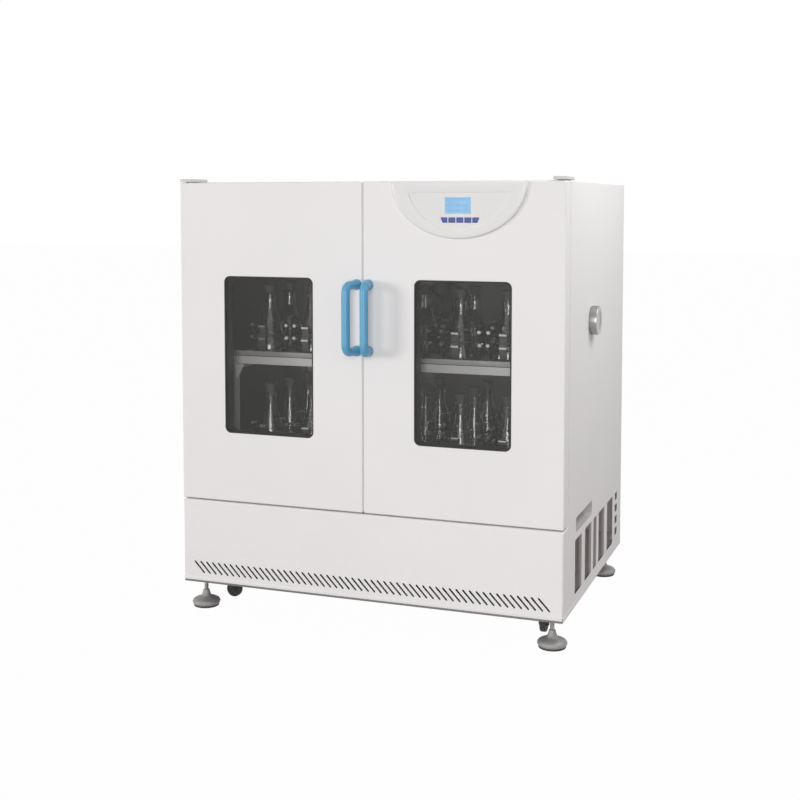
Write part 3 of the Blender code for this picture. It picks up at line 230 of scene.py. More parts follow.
def grown(edges, growth):
    """The left, right, bottom and top of a rectangle, moved outwards."""
    left, right, bottom, top = edges
    return left - growth, right + growth, bottom - growth, top + growth


def front_edges(node_name):
    """Left, right, bottom and top of a solid seen from the front, in cabinet places."""
    low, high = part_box(node_name)
    return low.x - middle_x, high.x - middle_x, low.z, high.z


def from_front(across, up, depth):
    """Outline drawn on the front: across is X and depth runs towards the back."""
    return place(across, depth, up)


def from_side(along, up, depth):
    """Outline drawn on a side: along runs towards the back and depth is X."""
    return place(depth, along, up)


# %% Lofts and prisms
def skin(built, loops, closed=False):
    """Join neighbouring loops of points with faces, and the last to the first if closed."""
    for loop, after in zip(loops, loops[1:] + loops[:1] if closed else loops[1:]):
        for index in range(len(loop)):
            following = (index + 1) % len(loop)
            built.faces.new((loop[index], loop[following], after[following], after[index]))


def loft(built, rows, lift=from_front, closed=False, caps=()):
    """Join rows of (outline, depth): lift turns an outline point and a depth into a place."""
    loops = [[built.verts.new(lift(*point, depth)) for point in outline] for outline, depth in rows]
    skin(built, loops, closed)
    for cap in caps:
        built.faces.new(loops[cap])


def lofted_mesh(name, rows, smooth_angle, **how):
    built = bmesh.new()
    loft(built, rows, **how)
    return to_mesh(name, built, smooth_angle)


def prism_bmesh(outlines, near, far, lift=from_front):
    """Push outlines from near to far."""
    built = bmesh.new()
    for outline in outlines:
        loft(built, ((outline, near), (outline, far)), lift, caps=(0, -1))
    bmesh.ops.recalc_face_normals(built, faces=built.faces)
    return built


def prism_mesh(name, outlines, near, far, lift=from_front):
    return to_mesh(name, prism_bmesh(outlines, near, far, lift))


# %% [markdown]
# ## Turned shapes
# Feet, wheels, flasks and the port cap are turned on a lathe or blown round, so each is a profile spun
# about an axis. Sharp profile corners are eased first, because real tools leave a small radius.

# %% Eased polylines and turned pieces
def eased(points, radius, steps=4):
    """Round the inner corners of a polyline."""
    points = [Vector(point) for point in points]
    result = [points[0]]
    for before, corner, after in zip(points, points[1:], points[2:]):
        back = before - corner
        ahead = after - corner
        reach = min(radius, back.length * 0.45, ahead.length * 0.45)
        start = corner + back.normalized() * reach
        end = corner + ahead.normalized() * reach
        for step in range(steps + 1):
            share = step / steps
            result.append(start * (1 - share) ** 2 + corner * 2 * share * (1 - share) + end * share ** 2)
    result.append(points[-1])
    return result


def mirrored(half):
    """A profile that is the same on both sides of its middle."""
    return half + [(radius, -height) for radius, height in reversed(half)]


def turned_mesh(name, profile, centre, axis=upward, steps=48, closed=False, smooth_angle=35):
    """Spin a profile of (radius, height) points about an axis through the centre."""
    built = bmesh.new()
    verts = [built.verts.new((radius, 0, height)) for radius, height in profile]
    pairs = list(zip(verts, verts[1:]))
    if closed:
        pairs.append((verts[-1], verts[0]))
    edges = [built.edges.new(pair) for pair in pairs]
    bmesh.ops.spin(built, geom=verts + edges, axis=upward, cent=(0, 0, 0), angle=math.tau, steps=steps,
                   use_duplicate=False)
    bmesh.ops.remove_doubles(built, verts=built.verts, dist=0.000005)
    turn = upward.rotation_difference(axis).to_matrix().to_4x4()
    bmesh.ops.transform(built, matrix=Matrix.Translation(centre) @ turn, verts=built.verts)
    return to_mesh(name, built, smooth_angle)


# %% [markdown]
# ## Finishes
# A finish is more than a colour. Under a lamp, powder coat shows a faint orange peel, rolled steel shows
# the direction it was brushed in, and moulded plastic is almost even. Each finish mixes a slow change of
# colour, a slight change of gloss and a fine bump. All of it is worked out from the piece's own
# coordinates in metres, so the detail has its real size on every piece.

# %% The helpers behind every finish
def node(tree, kind, **inputs):
    """Add a shader node. Each of its inputs is a socket to link, or a plain value."""
    made = tree.nodes.new("ShaderNode" + kind)
    for name, value in inputs.items():
        socket = made.inputs[name.replace("_", " ")]
        if isinstance(value, bpy.types.NodeSocket):
            tree.links.new(value, socket)
        else:
            socket.default_value = value
    return made


def finish(name, colour, roughness, metallic=0.0, drift=0.02, drift_scale=3.0, gloss_change=0.05,
           gloss_scale=30.0, bump=0.00002, bump_scale=500.0, stretch=(1, 1, 1), **settings):
    """A Principled material with slow colour drift, uneven gloss and a fine bump."""
    made = bpy.data.materials.new(name)
    made.use_nodes = True
    tree = made.node_tree
    shader = tree.nodes["Principled BSDF"]
    shader.inputs["Metallic"].default_value = metallic
    for socket, value in settings.items():
        shader.inputs[socket.replace("_", " ")].default_value = value
    even = node(tree, "TexCoord").outputs["Object"]
    combed = node(tree, "Mapping", Vector=even, Scale=stretch).outputs["Vector"]

    slow = node(tree, "TexNoise", Vector=even, Scale=drift_scale, Detail=3)
    shades = node(tree, "ValToRGB", Fac=slow.outputs["Fac"])
    darker, lighter = shades.color_ramp.elements
    darker.position, lighter.position = 0.3, 0.7
    darker.color = (*[part * (1 - drift) for part in colour], 1)
    lighter.color = (*[min(1, part * (1 + drift)) for part in colour], 1)
    tree.links.new(shades.outputs["Color"], shader.inputs["Base Color"])

    patches = node(tree, "TexNoise", Vector=combed, Scale=gloss_scale)
    gloss = node(tree, "MapRange", Value=patches.outputs["Fac"], To_Min=roughness - gloss_change,
                 To_Max=roughness + gloss_change)
    tree.links.new(gloss.outputs["Result"], shader.inputs["Roughness"])

    grain = node(tree, "TexNoise", Vector=combed, Scale=bump_scale, Detail=4)
    relief = node(tree, "Bump", Height=grain.outputs["Fac"], Distance=bump, Strength=1.0)
    tree.links.new(relief.outputs["Normal"], shader.inputs["Normal"])
    return made


# %% Painted and moulded finishes
coat = {"drift": 0.012, "bump": 0.00003, "bump_scale": 450}
powder_coat = finish("powder_coat", (0.80, 0.79, 0.785), 0.58, **coat)
# The cabinet's paint made darker: painted shade for the inside of the hand cups.
painted_shade_coat = finish("painted_shade_coat", (0.52, 0.50, 0.50), 0.58, **coat)
bracket_paint = finish("bracket_paint", (0.60, 0.60, 0.60), 0.40, bump=0.00003, bump_scale=450)
grille_paint = finish("grille_paint", (0.49, 0.44, 0.43), 0.55, bump=0.00004, bump_scale=600)
frame_paint = finish("frame_paint", (0.17, 0.17, 0.17), 0.50, drift=0.06, bump=0.00005, bump_scale=400)
white_plastic = finish("white_plastic", (0.745, 0.745, 0.74), 0.34, bump=0.00001, bump_scale=1200)
liner_plastic = finish("liner_plastic", (0.72, 0.715, 0.70), 0.40, bump_scale=900)
blue_plastic = finish("blue_plastic", (0.094, 0.345, 0.555), 0.36, drift=0.03, bump_scale=1500,
                      Coat_Weight=0.15, Coat_Roughness=0.25)
key_rubber = finish("key_rubber", (0.055, 0.085, 0.30), 0.45, drift=0.05, bump_scale=1800)
display_film = finish("display_film", (0.30, 0.57, 0.82), 0.22, drift=0.10, drift_scale=30, bump=0.000004,
                      Coat_Weight=0.6, Coat_Roughness=0.08)
digit_ink = finish("digit_ink", (0.24, 0.50, 0.82), 0.35, drift=0.05)
print("painted and moulded finishes ready")

# %% Metal finishes
along_x, along_z = (0.02, 1, 1), (1, 1, 0.02)
brushed = {"gloss_scale": 300, "bump": 0.00003, "bump_scale": 900, "stretch": along_x}
chamber_steel = finish("chamber_steel", (0.26, 0.26, 0.255), 0.38, 1.0, drift=0.05, **brushed)
deck_steel = finish("deck_steel", (0.92, 0.92, 0.91), 0.36, 0.10, drift=0.04, **brushed)
rim_steel = finish("rim_steel", (0.50, 0.50, 0.49), 0.40, 0.10, drift=0.04, **brushed)
# The clamps' satin steel is painted twice over: near black as painted shade on the strips and the spring,
# and near white as painted highlight on the rolls at the strips' bends.
painted_shade_steel = finish("painted_shade_steel", (0.10, 0.10, 0.10), 0.42, 0.6, gloss_scale=300, bump_scale=900,
                     stretch=along_z)
painted_highlight_steel = finish("painted_highlight_steel", (0.95, 0.95, 0.94), 0.18, 0.8, gloss_scale=400, bump=0.00001,
                      bump_scale=900, stretch=along_z)
turned_steel = finish("turned_steel", (0.36, 0.36, 0.36), 0.26, 1.0, drift=0.04, gloss_scale=200,
                      bump_scale=800)
zinc_plate = finish("zinc_plate", (0.48, 0.48, 0.46), 0.40, 1.0, drift=0.10, drift_scale=60, bump=0.00004)
cast_foot = finish("cast_foot", (0.32, 0.31, 0.305), 0.55, 0.2, drift=0.10, drift_scale=80, bump=0.00012,
                   bump_scale=700)
milled_aluminium = finish("milled_aluminium", (0.16, 0.16, 0.165), 0.42, 0.9, gloss_scale=200,
                          bump=0.00003, stretch=along_x)
print("metal finishes ready")

# %% Rubber, foam and dark plastics
black_rubber = finish("black_rubber", (0.022, 0.022, 0.022), 0.62, drift=0.15, drift_scale=60, bump=0.00008)
grey_gasket = finish("grey_gasket", (0.16, 0.16, 0.16), 0.60, drift=0.05, bump=0.00006)
pale_gasket = finish("pale_gasket", (0.62, 0.60, 0.585), 0.55, drift=0.03, bump=0.00005)
black_plastic = finish("black_plastic", (0.028, 0.028, 0.028), 0.46, drift=0.10, bump=0.00004,
                       bump_scale=1200)
compressor_enamel = finish("compressor_enamel", (0.018, 0.018, 0.018), 0.28, bump=0.00005, bump_scale=300)
stopper_rubber = finish("stopper_rubber", (0.14, 0.14, 0.135), 0.70, drift=0.08, drift_scale=60,
                        bump=0.0002)
cut_foam = finish("cut_foam", (0.78, 0.74, 0.58), 0.95, drift=0.08, drift_scale=90, bump=0.0006,
                  bump_scale=350)
print("dark finishes ready")

# %% [markdown]
# ## Glass
# The door panes are smoked, so the chamber looks dim behind them. A see-through share on the shader
# dims what is behind without bending it, which is how a thin flat pane looks. The flasks are clear
# glass with curved walls, so they transmit and bend the light instead. A clear coat on them keeps their
# streaks of light bright.

# %% Glass finishes
smoked_glass = finish("smoked_pane", (0.115, 0.115, 0.110), 0.04, drift=0.05, gloss_change=0.01,
                      bump=0.000002, bump_scale=40, Alpha=0.20)
smoked_glass.surface_render_method = "BLENDED"
flask_glass = finish("flask_glass", (0.86, 0.90, 0.89), 0.02, drift=0.01, gloss_change=0.01, bump=0.00001,
                     bump_scale=60, Transmission_Weight=1.0, IOR=1.47, Specular_IOR_Level=1.0,
                     Coat_Weight=1.0, Coat_Roughness=0.03)
print("glass ready")

# %% [markdown]
# ## Doors
# Each door is a shallow steel pan that hangs on two pins, with a window cut in it. The window's corner
# radius and place come from the solid pane behind it, less the lap by which the pane is larger.

# %% Door pans
door_gauge = 0.0015
pane_lap = 0.008
window_corner = 0.017
right_window_trim = 0.004
punch_reach = 0.02
doors = (("left", left_door_low, left_door_high), ("right", right_door_low, right_door_high))


def window_edges(side):
    """Left, right, bottom and top of a door's window."""
    left, right, bottom, top = grown(front_edges(side + "_window_pane"), -pane_lap)
    return left, right - (right_window_trim if side == "right" else 0), bottom, top


for side, low, high in doors:
    pan = piece(side + "_door_pan", pan_mesh(side + "_door_pan", low, high, backward),
                side + "_door", "cabinet_paint", powder_coat, side + "_door_panel")
    gauge(pan, door_gauge)
    window = rounded_rectangle(*window_edges(side), window_corner, 10)
    punch(pan, prism_mesh("window_cut", [window], -punch_reach, punch_reach), 50)
    even_shading(pan)
    print(side, "door pan", len(pan.data.polygons), "faces")

# %% [markdown]
# ## Window trims
# A thin black gasket covers the cut edge of each window, and a deep black reveal lines the hole through
# the door. Both are rings with the window's own outline, so one helper makes them from rows of points:
# each row is the outline grown by some amount, at some depth.

# %% Rings that follow the window
trim_rows = ((-0.0025, 0.0016), (-0.0028, 0.0), (-0.0018, -0.0010), (0.0008, -0.0010), (0.0016, -0.0002),
             (0.0016, 0.0), (0.0, 0.0), (0.0, 0.0016))
reveal_proud = 0.0012
flange_reach = 0.012
flange_sheet = 0.0008
wall_sheet = 0.0015


def ring_mesh(name, edges, rows):
    """A closed ring: each row is (growth, depth) of the window's outline."""
    outlines = [(rounded_rectangle(*grown(edges, growth), window_corner + growth, 10), depth)
                for growth, depth in rows]
    return lofted_mesh(name, outlines, 40, closed=True)


for side in ("left", "right"):
    edges = window_edges(side)
    pane = frame["nodes"][side + "_window_pane"]
    pane_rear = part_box(side + "_window_pane")[1].y - front_y
    piece(side + "_window_gasket", ring_mesh("gasket", edges, trim_rows), side + "_door", "seal_rubber",
          black_rubber)
    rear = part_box(side + "_door_liner")[1].y - front_y + reveal_proud
    reveal_rows = ((0.0, pane_rear), (0.0, rear - 0.001), (0.001, rear), (flange_reach, rear),
                   (flange_reach, rear - flange_sheet), (wall_sheet, rear - flange_sheet),
                   (wall_sheet, pane_rear))
    piece(side + "_window_reveal", ring_mesh("reveal", edges, reveal_rows), side + "_door", "seal_rubber",
          black_plastic, side + "_door_liner")
    wear(pane, smoked_glass)
    print(side, "window trims and glass fitted")

# %% [markdown]
# ## Inner door plates
# Behind each pan lies a white moulded plate with a raised field round the window, which stiffens it.
# The plate is lofted like the trims, from the window's edge out to the door's edge.

# %% Inner door plates
plate_inset = 0.002
plate_corner = 0.006
field_rows = ((0.0, -0.002), (0.0, 0.0), (0.25, 0.0), (0.30, -0.0015), (0.55, -0.0015), (0.60, 0.0),
              (1.0, 0.0), (1.0, -0.002))
for side in ("left", "right"):
    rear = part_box(side + "_door_liner")[1].y - front_y
    inner = window_edges(side)
    outer = grown(front_edges(side + "_door_panel"), -plate_inset)
    rows = []
    for share, rise in field_rows:
        spans = [near * (1 - share) + far * share for near, far in zip(inner, outer)]
        corner = window_corner * (1 - share) + plate_corner * share
        rows.append((rounded_rectangle(*spans, corner, 8), rear + rise))
    plate = piece(side + "_inner_plate", lofted_mesh("inner_plate", rows, 30, closed=True),
                  side + "_door", "liner_plastic", liner_plastic, side + "_door_liner")
    print(side, "inner plate", len(plate.data.polygons), "faces")

# %% [markdown]
# ## Bars and tubes
# The door handles are thick bars bent at both ends, and the springs round the flask clamps are thin
# rings. Both are a circle swept along a path. The sweep keeps the circle's own axes from twisting, and
# each point has its own radius, so a bar can flare where it meets the door.

# %% Swept bars
def dense(path, step):
    """Add points so that no two neighbours lie further apart than the step."""
    result = [Vector(path[0])]
    for before, after in zip(path, path[1:]):
        before, after = Vector(before), Vector(after)
        parts = max(1, math.ceil((after - before).length / step))
        result += [before.lerp(after, part / parts) for part in range(1, parts + 1)]
    return result


def bar_bmesh(path, radii, sides=20, closed=False):
    """Sweep a circle along world points, with a radius for each of them."""
    built = bmesh.new()
    count = len(path)
    loops = []
    across = None
    for index, point in enumerate(path):
        if closed:
            before, after = path[index - 1], path[(index + 1) % count]
        else:
            before, after = path[max(index - 1, 0)], path[min(index + 1, count - 1)]
        heading = (after - before).normalized()
        across = across or heading.orthogonal()
        across = (across - heading * across.dot(heading)).normalized()
        beside = heading.cross(across)
        angles = [math.tau * side / sides for side in range(sides)]
        ring = [math.cos(angle) * across + math.sin(angle) * beside for angle in angles]
        loops.append([built.verts.new(point + radii[index] * arm) for arm in ring])
    if not closed:
        built.faces.new(loops[0])
        built.faces.new(loops[-1])
    skin(built, loops, closed)
    return built


# %% [markdown]
# ## Handles
# The two blue handles are the brightest thing on the machine. Each is a thick D with round elbows, and it
# swells a little where it stands on the door, as moulded grips do round their screws.

# %% Handles
handle_radius = 0.0125
handle_elbow = 0.024
handle_foot_run = 0.010
foot_swell = 0.0032
swell_reach = 0.026
point_spacing = 0.0025
for side in ("left", "right"):
    handle_low, handle_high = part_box(side + "_handle")
    bar_x, foot_x = handle_low.x + handle_radius, handle_high.x - handle_radius
    if side == "right":
        bar_x, foot_x = foot_x, bar_x
    out = handle_low.y + handle_radius
    foot_y = front_y - handle_foot_run
    lower = handle_low.z + handle_radius
    upper = handle_high.z - handle_radius
    corners = [(foot_x, front_y, upper), (foot_x, foot_y, upper), (bar_x, out, upper), (bar_x, out, lower),
               (foot_x, foot_y, lower), (foot_x, front_y, lower)]
    path = dense(eased(corners, handle_elbow, 8), point_spacing)
    radii = []
    for point in path:
        nearness = max(0.0, 1 - (front_y - point.y) / swell_reach)
        radii.append(handle_radius + foot_swell * min(1.0, 1.8 * nearness ** 1.5))
    piece(side + "_grip_bar", to_mesh("grip_bar", bar_bmesh(path, radii, 28), 60), side + "_door",
          "handle_blue", blue_plastic, side + "_handle")
    print(side, "handle", round(upper - lower, 3), "m between its arms")

# %% [markdown]
# ## Control panel
# A half-moon moulding hangs from the right door's top edge. Its rim swells softly out of the door, and
# the face inside is sunk with a crisp upper line. The moulding is lofted: each row blends the outer
# outline into the inner one and has its own depth, so the whole swell is one smooth surface.

# %% Half-moon outlines
moulding_low, moulding_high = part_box("control_moulding")
moulding_x, moulding_top = (moulding_low.x + moulding_high.x) / 2 - middle_x, moulding_high.z
rim_half_width = 0.203
rim_drop = 0.163
face_half_width = 0.152
face_drop = 0.137
face_top_inset = 0.032
rim_top_inset = 0.0003
arc_count = 56
flat_count = 24


def half_moon(share):
    """The outline between the moulding's edge at share 0 and its sunk face at share 1."""
    half_across = rim_half_width * (1 - share) + face_half_width * share
    drop = rim_drop * (1 - share) + face_drop * share
    lean = math.asin((face_top_inset * share + rim_top_inset) / drop)
    points = []
    for step in range(arc_count + 1):
        angle = math.pi + lean + (math.pi - 2 * lean) * step / arc_count
        points.append((moulding_x + half_across * math.cos(angle), moulding_top + drop * math.sin(angle)))
    first, last = points[0], points[-1]
    for step in range(1, flat_count):
        part = step / flat_count
        points.append((last[0] + (first[0] - last[0]) * part, last[1]))
    return points


# %% Moulding, with openings for display and keys
moulding_rows = ((0.0, 0.0), (0.004, -0.0022), (0.02, -0.0050), (0.06, -0.0076), (0.13, -0.0092),
                 (0.24, -0.0100), (0.50, -0.0100), (0.76, -0.0097), (0.92, -0.0092), (0.985, -0.0088),
                 (1.0, -0.0068))
display_edges = front_edges("display_screen")
display_corner = 0.0015
pocket_floor = -0.0015
key_slant = 0.006
key_gap = 0.0004


def key_outline(index, grow):
    """A key's face: the first and the last key have a slanted outer side."""
    left, right, bottom, top = grown(front_edges("key_" + str(index)), grow)
    left_slant = key_slant if index == 1 else 0
    right_slant = key_slant if index == 5 else 0
    return [(left + left_slant, bottom), (right - right_slant, bottom), (right, top), (left, top)]


rows = [(half_moon(share), depth) for share, depth in moulding_rows]
moulding = piece("control_panel", lofted_mesh("control_panel", rows, 28, caps=(0, -1)), "right_door",
                 "moulding_plastic", white_plastic, "control_moulding")
openings = [rounded_rectangle(*display_edges, display_corner, 4)]
openings += [key_outline(index, key_gap) for index in range(1, 6)]
punch(moulding, prism_mesh("panel_openings", openings, -0.03, pocket_floor), 28)
print("control panel", len(moulding.data.polygons), "faces")

# %% [markdown]
# ## Display and keys
# The display is a blue film with rows of plain bars on it, for values and limits that a reader can't make
# out at this distance. Five dark blue keys stand under it. Their edges are eased so that each one keeps
# a thin line of light.

# %% Display film
display_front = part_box("display_screen")[0].y - front_y
film_corner = 0.0014
film_clearance = 0.0003
film_mesh = prism_mesh("display_film", [rounded_rectangle(*display_edges, film_corner, 4)], display_front,
                       pocket_floor - film_clearance)
piece("display_film", film_mesh, "right_door", "display_blue", display_film, "display_screen")
left, right, bottom, top = display_edges
ink_thickness = 0.00012
digit_height = 0.0085
digit_widths = (0.0175, 0.0175, 0.0105)
dark_bars = [rounded_rectangle(left + 0.003, right - 0.003, top - 0.0095, top - 0.0035, 0.0006, 3)]
for row in range(2):
    for column, width in enumerate(digit_widths):
        bar_left = left + 0.006 + column * 0.0235
        bar_low = bottom + 0.0055 + row * 0.0155
        dark_bars.append(rounded_rectangle(bar_left, bar_left + width, bar_low, bar_low + digit_height,
                                           0.0008, 3))
bars_mesh = prism_mesh("display_bars", dark_bars, display_front - ink_thickness,
                       display_front + ink_thickness)
piece("display_bars", bars_mesh, "right_door", "display_blue", digit_ink)
print("display with", len(dark_bars), "bars")

# %% Keys
key_ease = 0.0009
for index in range(1, 6):
    name = "key_" + str(index)
    low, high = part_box(name)
    built = prism_bmesh([key_outline(index, 0)], low.y - front_y, high.y - front_y)
    round_edges(built, key_ease, 3)
    piece("key_cap_" + str(index), to_mesh("key_cap", built, 50), name, "key_blue", key_rubber, name)
print("five keys fitted")

# %% [markdown]
# ## Hinge brackets
# A flat block on each top corner holds the door's upper pin. It is screwed down, so each one has two
# countersunk screws with a cross in the head.

# %% Screws
def joined(name, meshes):
    """One mesh from several."""
    built = bmesh.new()
    for mesh in meshes:
        built.from_mesh(mesh)
        bpy.data.meshes.remove(mesh)
    made = bpy.data.meshes.new(name)
    built.to_mesh(made)
    built.free()
    return made


def add_screws(name, centres, axis, radius=0.0042, height=0.0012):
    """One piece for a set of low screw heads, and one for the dark crosses in them."""
    profile = eased([(0.0, height), (radius * 0.75, height), (radius, 0.0), (radius, -height)],
                    radius * 0.3)
    turn = upward.rotation_difference(axis).to_matrix().to_4x4()
    arm, arm_width = radius * 0.6, radius * 0.09
    heads, crosses = [], []
    for centre in centres:
        heads.append(turned_mesh(name, profile, centre, axis, 20))
        for half_x, half_y in ((arm, arm_width), (arm_width, arm)):
            built = box_bmesh(Vector((-half_x, -half_y, height * 0.2)),
                              Vector((half_x, half_y, height * 1.01)))
            bmesh.ops.transform(built, matrix=Matrix.Translation(centre) @ turn, verts=built.verts)
            crosses.append(to_mesh("recess", built))
    piece(name, joined(name, heads), "cabinet", "zinc_steel", zinc_plate)
    piece(name + "_recesses", joined(name + "_recesses", crosses), "cabinet", "zinc_steel", black_plastic)


# %% Hinge brackets
bracket_edge = 0.0015
bracket_gap = 0.0003
pin_radius = 0.005
pin_tip = 0.0007
pin_inset = 0.012
pin_depth = 0.0275
screw_depths = (0.068, 0.092)
for side, edge_x, inwards in (("left", left_door_low.x, 1), ("right", right_door_high.x, -1)):
    low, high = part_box("hinge_top_" + side)
    slab_bottom = cabinet_top + bracket_gap
    slab = slab_mesh("hinge_slab", Vector((low.x, low.y, slab_bottom)), high, bracket_edge, 3)
    pin_top = slab_bottom + 0.004
    pin_profile = [(0.0, pin_top), (pin_radius, pin_top), (pin_radius, low.z + pin_tip),
                   (pin_radius - pin_tip, low.z), (0.0, low.z)]
    pin_place = Vector((edge_x + inwards * pin_inset, front_y + pin_depth, 0))
    pin = turned_mesh("hinge_pin", pin_profile, pin_place)
    piece("hinge_bracket_" + side, joined("hinge_bracket", [slab, pin]), "cabinet", "hinge_steel",
          bracket_paint, "hinge_top_" + side)
    centres = [Vector(((low.x + high.x) / 2, front_y + depth, high.z)) for depth in screw_depths]
    add_screws("bracket_screws_" + side, centres, upward)
print("hinge brackets screwed down")

# %% [markdown]
# ## Slotted skirt
# Under the doors a shallow pan hides the machine bay. Air leaves through a long row of slanting slots
# with round ends. The slots are punched through the pan in one cut.

# %% Skirt pan with its slots
skirt_low, skirt_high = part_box("front_skirt")
skirt_fold = 0.006
slot_count = 55
slot_pitch = 0.0202
slot_run, slot_rise = 0.035, 0.037
slot_half_width = 0.0028
slot_bottom = 0.120
skirt = piece("skirt_pan", pan_mesh("skirt_pan", skirt_low, skirt_high, backward, skirt_fold), "cabinet",
              "cabinet_paint", powder_coat, "front_skirt")
gauge(skirt, door_gauge)
lean = math.atan2(slot_run, slot_rise)
lean_degrees = math.degrees(lean)
half_length = math.hypot(slot_run, slot_rise) / 2 - slot_half_width
reach = Vector((-math.sin(lean), math.cos(lean))) * half_length
slots = []
for index in range(slot_count):
    centre = Vector(((index - (slot_count - 1) / 2) * slot_pitch, slot_bottom + slot_rise / 2))
    slots.append(arc(centre + reach, slot_half_width, lean_degrees, lean_degrees + 180, 5)
                 + arc(centre - reach, slot_half_width, lean_degrees + 180, lean_degrees + 360, 5))
punch(skirt, prism_mesh("slot_cut", slots, -0.01, 0.012), 40)
even_shading(skirt)
print("skirt with", slot_count, "slots,", len(skirt.data.polygons), "faces")

# %% [markdown]
# ## Hems
# The lower edges of the skirt and the side sheets are folded back on themselves, so that nobody is cut
# by them. A hem is a thin strip that laps the sheet and hides the frame behind it.

# %% Hems
hem_depth = 0.0018
hem_proud = 0.0002
hem_lap = 0.0065
front_hem_drop = 0.0052
side_hem_drop = 0.0100
hem_end = 0.003
hem_ease = 0.0004
outer_x, inner_x = half_width + hem_proud, half_width - hem_depth
front_bottom, side_bottom = skirt_low.z - front_hem_drop, skirt_low.z - side_hem_drop
hem_top = skirt_low.z + hem_lap
rear_end = cabinet_depth - hem_end
hems = (("front", (hem_end - half_width, -hem_proud, front_bottom),
         (half_width - hem_end, hem_depth, hem_top)),
        ("left", (-outer_x, hem_end, side_bottom), (-inner_x, rear_end, hem_top)),
        ("right", (inner_x, hem_end, side_bottom), (outer_x, rear_end, hem_top)))
for name, low, high in hems:
    piece(name + "_hem", slab_mesh("hem", place(*low), place(*high), hem_ease), "cabinet", "cabinet_paint",
          powder_coat)
print("three hems")

# %% [markdown]
# ## Side sheets
# The sides are folded sheets with a return along every edge. The left one is whole, and the right one
# ends above a service cover. Only the outer edges are folded round: the seam between sheet and cover
# stays sharp and tight, so that it doesn't show from a distance.

# %% Side sheets
side_return = 0.012
side_gauge = 0.0015
ledge = 0.350
sheet_front = 0.060
skirt_rear = 0.0203
sheet_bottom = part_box("side_panel_left")[0].z
cover_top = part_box("service_cover")[1].z
upper_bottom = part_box("side_panel_right")[0].z


def side_sheet(name, side, outline, seam, node):
    """Fold an outline into a pan that is open towards the cabinet, and sharp at the seam's level."""
    built = prism_bmesh([outline], side * (half_width - side_return), side * half_width, from_side)
    fold_pan(built, -side * rightward, fold_radius,
             lambda edge: all(abs(vert.co.z - seam) < 0.001 for vert in edge.verts))
    sheet = piece(name, to_mesh(name, built, 50), "cabinet", "cabinet_paint", powder_coat, node)
    gauge(sheet, side_gauge)
    return sheet


def lower_outline(top):
    return [(skirt_rear, sheet_bottom), (cabinet_depth, sheet_bottom), (cabinet_depth, top),
            (sheet_front, top), (sheet_front, ledge), (skirt_rear, ledge)]


left_sheet = side_sheet("left_side_sheet", -1, lower_outline(cabinet_top), 0, "side_panel_left")
cover_sheet = side_sheet("service_cover_sheet", 1, lower_outline(cover_top), cover_top, "service_cover")
upper_outline = [(sheet_front, upper_bottom), (cabinet_depth, upper_bottom), (cabinet_depth, cabinet_top),
                 (sheet_front, cabinet_top)]
right_sheet = side_sheet("right_side_sheet", 1, upper_outline, upper_bottom, "side_panel_right")

# %% Openings in the side sheets
middle_y = cabinet_depth / 2
vent_low, vent_high = 0.128, 0.288
vent_width = 0.100
vents = ((-0.247, vent_width), (-0.105, vent_width), (0.0, 0.054), (0.105, vent_width), (0.247, vent_width))
vent_spans = [(middle_y + middle - width / 2, middle_y + middle + width / 2) for middle, width in vents]
hand_hole = (0.163, 0.398, 0.308, 0.353)
rear_holes = [(0.788, 0.828, 0.143 + row * 0.040, 0.168 + row * 0.040) for row in range(4)]
vent_corner, hole_corner, hand_corner = 0.003, 0.002, 0.008
port_y, port_z, port_hole_radius = 0.360, 0.912, 0.034
cut_from, cut_to = half_width - 0.008, half_width + 0.01

side_cuts = [rounded_rectangle(near, far, vent_low, vent_high, vent_corner, 4) for near, far in vent_spans]
side_cuts += [rounded_rectangle(*edges, hole_corner, 4) for edges in rear_holes]
side_cuts.append(rounded_rectangle(*hand_hole, hand_corner, 6))
port_cut = [arc((port_y, port_z), port_hole_radius, 0, 352.5, 48)]
for side, sheet, cuts in ((-1, left_sheet, side_cuts), (1, cover_sheet, side_cuts),
                          (1, right_sheet, port_cut)):
    near, far = sorted((side * cut_from, side * cut_to))
    punch(sheet, prism_mesh("side_cut", cuts, near, far, from_side), 45)
    even_shading(sheet)
    print(sheet.name, len(sheet.data.polygons), "faces")

# %% [markdown]
# ## Hand grips
# A pressed cup sits behind each hand hole. Its walls lean inwards and its corners are round, because it
# is drawn from one sheet. It is lofted from the hole's outline to a smaller floor. Its coat is the
# cabinet's paint made darker, as painted shade inside the recess.

# %% Hand grips
cup_lip = 0.0012
cup_floor_corner = 0.002
cup_rows = ((-0.0008, 0.0), (0.0, 0.0), (0.0, 0.006), (0.003, 0.030), (0.006, 0.036), (0.012, 0.0385))
for name, side in (("left", -1), ("right", 1)):
    rows = []
    for shrink, inward in cup_rows:
        corner = max(cup_floor_corner, hand_corner - shrink * 0.3)
        rows.append((rounded_rectangle(*grown(hand_hole, -shrink), corner, 6),
                     side * (half_width - cup_lip - inward)))
    cup_mesh = lofted_mesh("hand_cup", rows, 60, lift=from_side, caps=(-1,))
    # The darker coat is painted shade in the recess. The real cup wears the same paint as the sheet.
    cup = piece(name + "_hand_cup", cup_mesh, "cabinet", "cabinet_paint", painted_shade_coat)
    print(name, "hand cup", len(cup.data.polygons), "faces")

# %% [markdown]
# ## Louvred grilles
# Behind the vent windows sits a grey insert of fine leaning slats. From a few metres the slats melt into
# an even grey. They are real slats here, so a close view still shows them.

